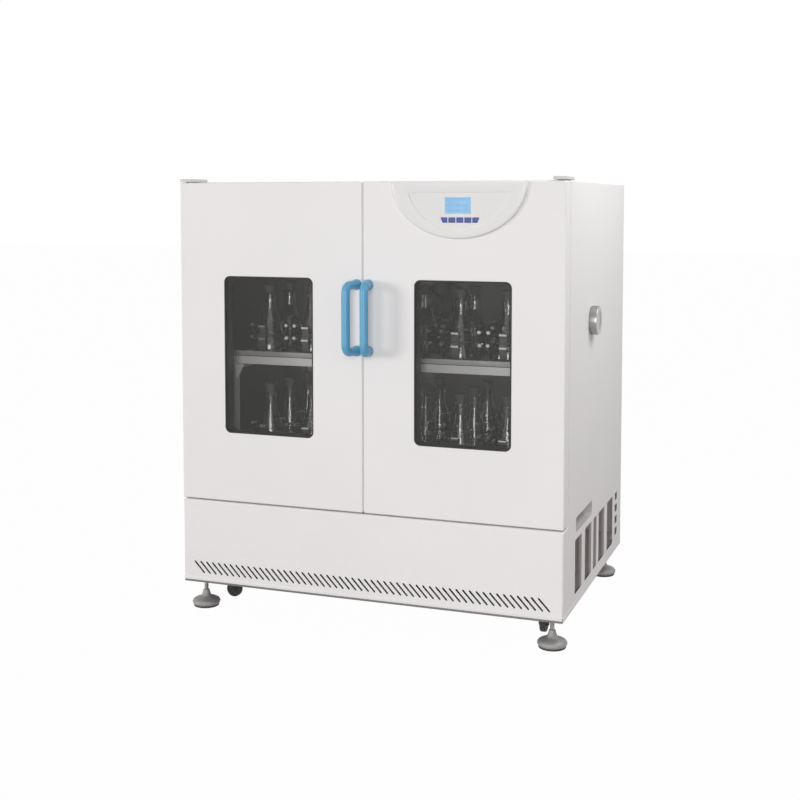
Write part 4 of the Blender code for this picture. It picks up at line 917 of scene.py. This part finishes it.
# %% Louvred grilles
slat_count = 20
slat_lean = math.radians(40)
slat_depth = 0.009
slat_thickness = 0.001
grille_inset = 0.0058
grille_margin = 0.006
bar_half_depth = 0.004
bar_gap = 0.001
slat_pitch = (vent_high - vent_low) / slat_count
for name, side in (("left", -1), ("right", 1)):
    grille_x = side * (half_width - grille_inset)
    built = bmesh.new()
    for near, far in vent_spans:
        size = (slat_thickness, far - near + 2 * grille_margin, slat_depth)
        for row in range(slat_count):
            slat = bmesh.ops.create_cube(built, size=1)["verts"]
            bmesh.ops.scale(built, vec=size, verts=slat)
            bmesh.ops.rotate(built, matrix=Matrix.Rotation(side * slat_lean, 3, "Y"), verts=slat)
            centre = place(grille_x, (near + far) / 2, vent_low + (row + 0.5) * slat_pitch)
            bmesh.ops.translate(built, vec=centre, verts=slat)
    parts = [to_mesh("slats", built)]
    for span, following in zip(vent_spans, vent_spans[1:]):
        low = place(grille_x - bar_half_depth, span[1] + bar_gap, vent_low - grille_margin)
        high = place(grille_x + bar_half_depth, following[0] - bar_gap, vent_high + grille_margin)
        parts.append(to_mesh("grille_bar", box_bmesh(low, high)))
    piece(name + "_grille", joined("grille", parts), "cabinet", "vent_grey", grille_paint,
          "side_vent_" + name)
    print(name, "grille", slat_count * len(vent_spans), "slats")

# %% [markdown]
# ## Cabinet shell, rear panel and base
# These keep the solids' shapes. Their edges are only broken a little, and the rear panel gets a row of
# screws along each edge.

# %% Solids shown as they are
def softened(name, node, body, slot, surface, width=0.0008):
    """Show a solid as it is, with its sharp edges broken as a maker breaks them with a file."""
    shown = piece(name, frame["nodes"][node].data.copy(), body, slot, surface, node)
    built = bmesh.new()
    built.from_mesh(shown.data)
    bmesh.ops.remove_doubles(built, verts=built.verts, dist=0.00001)
    bmesh.ops.dissolve_limit(built, angle_limit=math.radians(1), verts=built.verts, edges=built.edges)
    built.to_mesh(shown.data)
    built.free()
    shown.data.shade_smooth()
    shown.data.set_sharp_from_angle(angle=math.radians(30))
    broken = shown.modifiers.new("BrokenEdges", "BEVEL")
    broken.width = width
    broken.segments = 2
    broken.limit_method = "ANGLE"
    broken.angle_limit = math.radians(35)
    broken.harden_normals = True


# %% Shell, rear panel and base frame
softened("shell_sheet", "cabinet_shell", "cabinet", "cabinet_paint", powder_coat, 0.0006)
softened("rear_sheet", "rear_panel", "cabinet", "cabinet_paint", powder_coat, 0.0004)
softened("base_channel", "base_frame", "cabinet", "frame_grey", frame_paint, 0.0008)
rear_low, rear_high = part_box("rear_panel")
screw_inset = 0.016
left_line, right_line = rear_low.x + screw_inset, rear_high.x - screw_inset
low_line, high_line = rear_low.z + screw_inset, rear_high.z - screw_inset
rear_screws = []
for column in range(5):
    across = left_line + column * (rear_high.x - rear_low.x - 2 * screw_inset) / 4
    rear_screws += [Vector((across, rear_high.y, level)) for level in (low_line, high_line)]
for row in range(1, 5):
    level = low_line + row * (rear_high.z - rear_low.z - 2 * screw_inset) / 5
    rear_screws += [Vector((across, rear_high.y, level)) for across in (left_line, right_line)]
add_screws("rear_screws", rear_screws, backward, 0.0045, 0.0010)
print("rear panel with", len(rear_screws), "screws")

# %% [markdown]
# ## Port cap
# The access port is closed by a turned stainless cap with a rolled rim and a shallow dish. A short plug
# behind the dish fits the sleeve.

# %% Port cap
cap_low, cap_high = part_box("port_cap")
port_centre = place(half_width, port_y, port_z)
cap_radius = (cap_high.z - cap_low.z) / 2
cap_reach = cap_high.x - port_centre.x
stem_depth = cap_low.x - port_centre.x
dish_depth = 0.003
dish_radius, dish_rim = cap_radius * 0.62, cap_radius * 0.70
shoulder_radius, plug_radius = 0.0306, 0.0256
rim_back, shoulder_reach = 0.0005, 0.0163
cap_profile = eased([(0.0, cap_reach - dish_depth), (dish_radius, cap_reach - dish_depth),
                     (dish_rim, cap_reach), (cap_radius, cap_reach), (cap_radius, rim_back),
                     (shoulder_radius, rim_back), (shoulder_radius, shoulder_reach),
                     (plug_radius, shoulder_reach), (plug_radius, stem_depth), (0.0, stem_depth)],
                    0.0022, 5)
piece("port_cover", turned_mesh("port_cap", cap_profile, port_centre, rightward, 64), "port_cap",
      "port_steel", turned_steel, "port_cap")
print("port cap radius", round(cap_radius, 4))

# %% [markdown]
# ## Levelling feet
# Each foot is a rubber-edged pad with a cast dome, a cone, and a threaded stud with a lock nut. The thread
# is a zigzag in the spun profile, with its true pitch.

# %% Levelling feet
pad_profile = eased([(0.0, 0.0), (0.0385, 0.0), (0.0395, 0.0012), (0.0395, 0.0050), (0.0380, 0.0062),
                     (0.0, 0.0062)], 0.0008, 3)
dome_profile = [(0.0, 0.0052), (0.0385, 0.0050), (0.0415, 0.0080), (0.0432, 0.0125), (0.0428, 0.0165),
                (0.0400, 0.0205), (0.0340, 0.0240), (0.0262, 0.0268), (0.0190, 0.0292), (0.0155, 0.0315),
                (0.0128, 0.0380), (0.0102, 0.0470), (0.0092, 0.0505), (0.0060, 0.0512), (0.0, 0.0512)]
thread_radius = 0.0065
thread_depth = 0.0006
thread_pitch = 0.0015
thread_start = 0.0505
stud_end_radius = 0.004
nut_radius = 0.0115
nut_height = 0.008
nut_level = 0.079
nut_outline = arc((0, 0), nut_radius, 0, 300, 6)
corners = ("front_left", "front_right", "rear_left", "rear_right")
for corner in corners:
    body = "foot_" + corner
    low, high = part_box(body)
    centre = Vector(((low.x + high.x) / 2, (low.y + high.y) / 2, 0))
    piece(body + "_pad", turned_mesh("foot_pad", pad_profile, centre), body, "foot_grey", black_rubber)
    piece(body + "_dome", turned_mesh("foot_dome", dome_profile, centre, smooth_angle=50), body,
          "foot_grey", cast_foot, body)
    levels = [thread_start]
    while levels[-1] < high.z - thread_pitch:
        levels.append(levels[-1] + thread_pitch / 2)
    thread = [(thread_radius - (thread_depth if index % 2 else 0), level)
              for index, level in enumerate(levels)]
    stud_profile = [(0.0, levels[0])] + thread + [(stud_end_radius, high.z), (0.0, high.z)]
    nut = prism_bmesh([nut_outline], nut_level - nut_height / 2, nut_level + nut_height / 2,
                      lambda across, up, depth: centre + Vector((across, up, depth)))
    round_edges(nut, 0.0006)
    parts = [turned_mesh("foot_stud", stud_profile, centre, steps=20), to_mesh("foot_nut", nut)]
    piece(body + "_stud", joined("foot_stud", parts), body, "zinc_steel", zinc_plate)
print("four levelling feet")

# %% [markdown]
# ## Casters
# The wheels have a rubber tread and a dark hub, and the two front ones hang in swivelling forks. A fork
# is bent from a strip: a round plate with two cheeks that taper to the axle.

# %% Casters
axle_height = 0.035
wheel_radius = 0.025
wheel_half = 0.009
cheek_inner, cheek_outer = 0.010, 0.013
cheek_top_half, cheek_tip_radius = 0.0225, 0.0095
stem_rise = 0.012
head_gap = 0.002
head_radius, head_sheet = 0.0235, 0.004
swivel_x, swivel_y = 0.510, 0.140
tread_profile = eased(mirrored([(0.0175, wheel_half - 0.001), (0.0235, wheel_half),
                                (wheel_radius, wheel_half - 0.003)]), 0.0015, 3)
hub_profile = mirrored([(0.0045, wheel_half), (0.0085, wheel_half), (0.0095, wheel_half - 0.0025),
                        (0.0160, wheel_half - 0.0030), (0.0180, wheel_half - 0.0008)])
axle_profile = mirrored([(0.0, 0.0155), (0.005, 0.0155), (0.005, 0.0132), (0.0036, 0.0132)])


def fork_mesh(body, centre, axis, roll, swivel_side):
    """A swivel head with its stem, the axle and two cheeks, round a wheel's centre."""
    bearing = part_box(body)[1].z - stem_rise
    head_top = bearing - head_gap
    swivel = place(swivel_side * swivel_x, swivel_y, 0)
    head = eased([(0.0, head_top), (head_radius, head_top), (head_radius, head_top - head_sheet),
                  (0.0, head_top - head_sheet)], 0.001, 2)
    stem_top, stem_bottom = bearing + 0.0118, head_top - 0.002
    stem = [(0.0, stem_top), (0.0046, stem_top), (0.0048, stem_bottom), (0.0, stem_bottom)]
    parts = [turned_mesh("fork_head", head, swivel, steps=32),
             turned_mesh("fork_stem", stem, swivel, steps=16),
             turned_mesh("axle", axle_profile, centre, axis, 16)]
    offset = (centre - swivel).dot(roll)
    rise = stem_bottom - axle_height
    outline = arc((0, 0), cheek_tip_radius, 180, 360, 10)
    outline += [(cheek_top_half - offset, rise), (-cheek_top_half - offset, rise)]
    for sign in (-1, 1):
        near, far = sorted((sign * cheek_inner, sign * cheek_outer))
        cheek = prism_bmesh([outline], near, far,
                            lambda across, up, depth: centre + roll * across + upward * up + axis * depth)
        round_edges(cheek, 0.0004, 1)
        parts.append(to_mesh("cheek", cheek, 35))
    return joined("fork", parts)


for corner in corners:
    body = "caster_wheel_" + corner
    low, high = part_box(body)
    centre = (low + high) / 2
    axis, roll = (rightward, backward) if high.x - low.x < high.y - low.y else (backward, rightward)
    piece(corner + "_tread", turned_mesh("tread", tread_profile, centre, axis, 40, True), body,
          "caster_black", black_rubber, body)
    piece(corner + "_hub", turned_mesh("hub", hub_profile, centre, axis, 32, True), body, "caster_black",
          black_plastic)
    if corner.startswith("front"):
        body = "caster_fork_" + corner
        fork = fork_mesh(body, centre, axis, roll, -1 if "left" in corner else 1)
        piece(corner + "_fork", fork, body, "caster_black", black_plastic, body)
print("four casters")

# %% [markdown]
# ## Door gaskets
# A soft grey gasket fills the gap between each door and the cabinet. It is a ring that follows the
# door's edge, a little inside it, with two rounded ribs. A paler strip closes the gap between the doors.

# %% Door gaskets
gasket_inset = 0.0035
gasket_bottom = 0.014
gasket_width = 0.030
gasket_corner = 0.002
for side in ("left", "right"):
    seal_low, seal_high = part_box(side + "_door_seal")
    near, far = seal_low.y - front_y, seal_high.y - front_y
    valley = near + 0.002
    left, right, bottom, top = front_edges(side + "_door_panel")
    outer = (left + gasket_inset, right - gasket_inset, bottom + gasket_bottom, top - gasket_inset)
    ribs = ((0.0, near), (0.0, far), (0.004, far), (0.008, valley), (0.014, valley), (0.018, far),
            (gasket_width - 0.006, far), (gasket_width - 0.004, near))
    rows = [(rounded_rectangle(*grown(outer, -shrink), gasket_corner, 4), depth) for shrink, depth in ribs]
    piece(side + "_gasket", lofted_mesh("gasket", rows, 50, closed=True), side + "_door", "seal_rubber",
          grey_gasket, side + "_door_seal")
strip_edge = (right_door_low.x - left_door_high.x) / 2 - 0.0003
strip_inset = 0.004
strip_outline = rounded_rectangle(-strip_edge, strip_edge, left_door_low.z + strip_inset,
                                  left_door_high.z - strip_inset, 0.0008, 4)
piece("meeting_strip", prism_mesh("meeting_strip", [strip_outline], 0.0022, 0.0080), "left_door",
      "seal_rubber", pale_gasket)
print("door gaskets fitted")

# %% [markdown]
# ## Decks
# Both decks are folded steel trays on one welded frame, and the whole frame orbits on its cranks. The
# solids have the right form, so their sheets only get folded edges that catch the light. The upper deck
# has a darker front rim, and under it a thin black strip that is painted shadow along the rim's foot.

# %% Decks and their frame
tray_fold = 0.003
tray_gauge = 0.002
softened("deck_posts", "deck_frame", "platform", "deck_steel", deck_steel, 0.0010)
softened("orbit_plate", "orbit_table", "platform", "deck_steel", deck_steel, 0.0010)
for tray in ("upper_tray", "lower_tray"):
    tray_low, tray_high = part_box(tray)
    folded = piece(tray + "_sheet", pan_mesh(tray, tray_low, tray_high, -upward, tray_fold), "platform",
                   "deck_steel", deck_steel, tray)
    gauge(folded, tray_gauge)
    settle(folded)
    even_shading(folded)
    print(tray, len(folded.data.polygons), "faces")

# %% Front rim of the upper deck
rim_rise, rim_drop_below, shadow_strip_height = 0.011, 0.004, 0.0018
rim_sheet = 0.0015
rim_end = 0.0005
rim_ease = 0.0004
deck_low, deck_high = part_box("upper_tray")
shadow_strip_top = deck_high.z - rim_drop_below
# The black strip under the rim is painted shadow: a dark line where the rim meets the tray.
for name, bottom, top, proud, surface in (
        ("deck_rim", shadow_strip_top, deck_high.z + rim_rise, 0.0008, rim_steel),
        ("deck_rim_shadow_strip", shadow_strip_top - shadow_strip_height, shadow_strip_top, 0.0004, black_rubber)):
    low = Vector((deck_low.x - rim_end, deck_low.y - proud, bottom))
    high = Vector((deck_high.x + rim_end, deck_low.y + rim_sheet, top))
    piece(name, slab_mesh(name, low, high, rim_ease), "platform", "deck_steel", surface)
print("deck rim", round(deck_high.x - deck_low.x, 3), "m long")

# %% [markdown]
# ## Flask clamps
# Every flask stands in a spring clamp: four steel strips rise from a cross-shaped base, lean out, fold
# in over the flask's shoulder and flare at the top, and a ring spring pulls the strips together. Strips
# and spring are painted dark as shade, and a round roll at each of a strip's two bends is painted near
# white as a highlight. One clamp is built at the origin and its mesh is copied to every place on both
# decks.

# %% Clamp mesh
strip_half_width = 0.0115
strip_thickness = 0.0012
strip_path = eased([(0.0, 0.0010), (0.020, 0.0010), (0.0500, 0.0010), (0.0555, 0.0060), (0.0600, 0.0440),
                    (0.0590, 0.0530), (0.0565, 0.0670), (0.0585, 0.0860)], 0.004, 3)
strip_bends = ((0.0605, 0.0480), (0.0590, 0.0870))
bend_radius = 0.0056
bend_flat = 0.004
spring_radius = 0.0595
spring_wire = 0.0019
spring_level = 0.062
spring_steps = 40
quarter_turns = [Matrix.Rotation(math.tau * side / 4 - math.pi / 2, 3, "Z") for side in range(4)]


def strip_bmesh(turn):
    """A strip bent along its path, turned to its side of the flask."""
    built = bmesh.new()
    loops = []
    for index, point in enumerate(strip_path):
        before, after = strip_path[max(index - 1, 0)], strip_path[min(index + 1, len(strip_path) - 1)]
        along = (after - before).normalized()
        outward = Vector((along.y, -along.x)) * strip_thickness / 2
        ring = []
        for shift, across in ((outward, -1), (outward, 1), (-outward, 1), (-outward, -1)):
            flat = point + shift
            ring.append(built.verts.new(turn @ Vector((flat.x, across * strip_half_width, flat.y))))
        loops.append(ring)
    built.faces.new(loops[0])
    built.faces.new(loops[-1])
    skin(built, loops)
    return built


angles = [math.tau * step / spring_steps for step in range(spring_steps)]
ring_path = [Vector((spring_radius * math.cos(angle), spring_radius * math.sin(angle), spring_level))
             for angle in angles]
spring_radii = [spring_wire * (1 if step % 2 else 0.8) for step in range(spring_steps)]
clamp_parts = [to_mesh("strip", strip_bmesh(turn), 35) for turn in quarter_turns]
clamp_parts.append(to_mesh("spring", bar_bmesh(ring_path, spring_radii, 8, True), 60))
clamp_mesh = joined("clamp", clamp_parts)
# Rolls across each strip at its two bends, for the near-white steel: painted highlights.
bend_parts = []
for turn in quarter_turns:
    for out, level in strip_bends:
        ends = [turn @ Vector((out, across, level))
                for across in (-strip_half_width, -bend_flat, bend_flat, strip_half_width)]
        bend_parts.append(to_mesh("bend", bar_bmesh(ends, [bend_radius] * 4, 16), 60))
highlight_bend_mesh = joined("bends", bend_parts)
print("one clamp:", len(clamp_mesh.polygons), "faces")

# %% [markdown]
# ## Flasks
# The flasks are conical glass with a short neck and a rolled lip. The wall is spun as one closed
# profile, outside and inside, because glass needs both faces to bend light as it should. A tapered
# stopper closes each neck.

# %% Flask and stopper meshes
flask_base = Vector((0, 0, 0.0022))
outer_glass = [(0.0, 0.0), (0.042, 0.0), (0.0500, 0.0030), (0.0525, 0.0100), (0.0510, 0.0200),
               (0.0220, 0.1280), (0.0178, 0.1420), (0.0172, 0.1560), (0.0172, 0.1810), (0.0200, 0.1835),
               (0.0200, 0.1850)]
inner_glass = [(0.0160, 0.1850), (0.0155, 0.1800), (0.0155, 0.1560), (0.0160, 0.1430), (0.0202, 0.1280),
               (0.0490, 0.0205), (0.0500, 0.0105), (0.0480, 0.0050), (0.040, 0.0028), (0.0, 0.0028)]
flask_mesh = turned_mesh("flask", eased(outer_glass + inner_glass, 0.006, 3), flask_base, steps=32,
                         smooth_angle=60)
stopper_profile = eased([(0.0, 0.2130), (0.0195, 0.2130), (0.0150, 0.1990), (0.0115, 0.1870),
                         (0.0110, 0.1700), (0.0, 0.1700)], 0.002, 3)
stopper_mesh = turned_mesh("stopper", stopper_profile, flask_base, steps=24)
print("one flask:", len(flask_mesh.polygons), "faces")

# %% Rows of clamps and flasks on both decks
columns = (-0.397, -0.250, -0.088, 0.074, 0.236, 0.383)
deck_rows = (0.205, 0.350, 0.495, 0.640)
filled_rows = {"upper": 2, "lower": 3}
clearance = 0.0002
# The clamps wear the painted shade steel. The rolls at their bends wear the painted highlight steel.
clamp_kinds = (("_clamps", clamp_mesh, "deck_steel", painted_shade_steel),
               ("_bends", highlight_bend_mesh, "deck_steel", painted_highlight_steel))
flask_kinds = (("_flasks", flask_mesh, "window_glass", flask_glass),
               ("_stoppers", stopper_mesh, "seal_rubber", stopper_rubber))


def row_of(name, mesh, level, depth, slot, surface):
    """Copies of one mesh at every column of a row, as one piece."""
    built = bmesh.new()
    for across in columns:
        copy = mesh.copy()
        copy.transform(Matrix.Translation(place(across, depth, level)))
        built.from_mesh(copy)
        bpy.data.meshes.remove(copy)
    made = bpy.data.meshes.new(name)
    built.to_mesh(made)
    built.free()
    piece(name, made, "platform", slot, surface)


for deck, filled in filled_rows.items():
    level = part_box(deck + "_tray")[1].z + clearance
    for number, depth in enumerate(deck_rows, 1):
        for kind, mesh, slot, surface in clamp_kinds + (flask_kinds if number <= filled else ()):
            row_of(deck + "_row_" + str(number) + kind, mesh, level, depth, slot, surface)
print("clamps:", 2 * len(columns) * len(deck_rows), "flasks:", len(columns) * sum(filled_rows.values()))

# %% [markdown]
# ## Camera
# The picture shows the cabinet from the right of its middle and from just below its top, at about a
# person's distance. The lens, the shift and the place were solved from the cabinet's corners.

# %% Camera
sensor_width = 36
frame_pixels = 800
focal_pixels = 1250.6
downward_tilt = 3.76
turn_left = 20.033
camera = add_object("camera", bpy.data.cameras.new("camera"))
bpy.context.scene.camera = camera
camera.data.sensor_width = sensor_width
camera.data.lens = focal_pixels / frame_pixels * sensor_width
camera.data.shift_y = -0.14
camera.data.dof.use_dof = False
camera.location = place(1.3451, -3.3719, 1.2563)
camera.rotation_euler = (math.radians(90 - downward_tilt), 0, math.radians(turn_left))
print("camera", round((camera.location - place(0, 0, cabinet_top / 2)).length, 2), "m from the doors")

# %% [markdown]
# ## Floor and backdrop
# A product picture has a plain white ground. The floor here is a matt surface, so the machine stands in
# its own soft shadow, and a share of plain white is added for what the camera sees. The backdrop is the
# world: it is white to the camera, to mirrors and through glass, and dimmer for the light that it gives.

# %% Floor and backdrop
floor_reach = 30
floor_sheet = 0.01
sky_strength = 0.40


def seen_directly(tree):
    """A socket that is 1 for camera, mirror and glass rays, and 0 for the rays that light a surface."""
    rays = tree.nodes.new("ShaderNodeLightPath")
    result = rays.outputs["Is Camera Ray"]
    for name in ("Is Glossy Ray", "Is Transmission Ray"):
        larger = tree.nodes.new("ShaderNodeMath")
        larger.operation = "MAXIMUM"
        tree.links.new(result, larger.inputs[0])
        tree.links.new(rays.outputs[name], larger.inputs[1])
        result = larger.outputs[0]
    return result


def studio_white(name, colour, white_share):
    """Plain white to the camera and to reflections, and a matt surface to everything else."""
    made = bpy.data.materials.new(name)
    made.use_nodes = True
    tree = made.node_tree
    tree.nodes.remove(tree.nodes["Principled BSDF"])
    matt = node(tree, "BsdfDiffuse", Color=(*colour, 1))
    white = node(tree, "Emission", Color=(1, 1, 1, 1), Strength=1.0)
    share = tree.nodes.new("ShaderNodeMath")
    share.operation = "MULTIPLY"
    share.inputs[1].default_value = white_share
    tree.links.new(seen_directly(tree), share.inputs[0])
    mix = node(tree, "MixShader", Fac=share.outputs[0])
    tree.links.new(matt.outputs[0], mix.inputs[1])
    tree.links.new(white.outputs[0], mix.inputs[2])
    tree.links.new(mix.outputs[0], tree.nodes["Material Output"].inputs["Surface"])
    return made


floor_low = Vector((-floor_reach, -floor_reach, -floor_sheet))
floor_high = Vector((floor_reach, floor_reach, 0))
floor = add_object("floor", to_mesh("floor", box_bmesh(floor_low, floor_high)))
floor.data.materials.append(studio_white("floor_white", (0.40, 0.35, 0.35), 0.985))

world = bpy.data.worlds.new("studio")
bpy.context.scene.world = world
world.use_nodes = True
sky = world.node_tree.nodes["Background"]
sky.inputs["Color"].default_value = (1, 1, 1, 1)
sky_level = node(world.node_tree, "MapRange", Value=seen_directly(world.node_tree), To_Min=sky_strength,
                 To_Max=1.0)
world.node_tree.links.new(sky_level.outputs["Result"], sky.inputs["Strength"])
print("floor and backdrop ready")

# %% [markdown]
# ## Lamps
# Three soft lamps light the machine. A tall one near the camera fills the doors and the chamber. A wide
# one far to the left gives the front its even light, and its distance keeps that light level from edge
# to edge. A small one close to the right side lifts the sheet's upper part, as in the photograph.

# %% Lamps
def soft_lamp(name, where, target, width, height, power):
    lamp = add_object(name, bpy.data.lights.new(name, "AREA"))
    lamp.data.shape = "RECTANGLE"
    lamp.data.size = width
    lamp.data.size_y = height
    lamp.data.energy = power
    lamp.location = where
    lamp.rotation_euler = (target - where).to_track_quat("-Z", "Y").to_euler()


window_middle = place(0, 0, 0.80)
soft_lamp("front_lamp", place(1.4, -6.0, 1.7), window_middle, 2.2, 3.2, 172)
soft_lamp("left_lamp", place(-11.0, -8.7, 2.0), window_middle, 3.4, 3.4, 620)
soft_lamp("side_lamp", place(1.6, 0.40, 2.3), place(half_width, 0.45, 1.2), 1.0, 1.0, 22)
bpy.context.scene.view_settings.view_transform = "Standard"
print("three lamps")

# %% [markdown]
# ## Finishes for the parts inside
# The drive, the cooling circuit and the chamber keep their solid shapes. Each of them takes the finish
# of its material slot, so no part is left with a flat colour.

# %% Finishes for the solids that stay
solid_finishes = {
    "cabinet_paint": powder_coat, "vent_grey": grille_paint, "frame_grey": frame_paint,
    "chamber_steel": chamber_steel, "deck_steel": deck_steel, "hinge_steel": bracket_paint,
    "port_steel": turned_steel, "foam": cut_foam, "liner_plastic": liner_plastic,
    "moulding_plastic": white_plastic, "handle_blue": blue_plastic, "display_blue": display_film,
    "key_blue": key_rubber, "window_glass": smoked_glass, "seal_rubber": grey_gasket,
    "belt_rubber": black_rubber, "zinc_steel": zinc_plate, "foot_grey": cast_foot,
    "plain_aluminium": milled_aluminium, "compressor_black": compressor_enamel,
    "box_plastic": black_plastic, "caster_black": black_rubber,
}
for subpart in frame["record"]["subparts"]:
    wear(frame["nodes"][subpart["node"]], solid_finishes[subpart["material_slot"]])
print(len(solid_finishes), "slots have their finish")
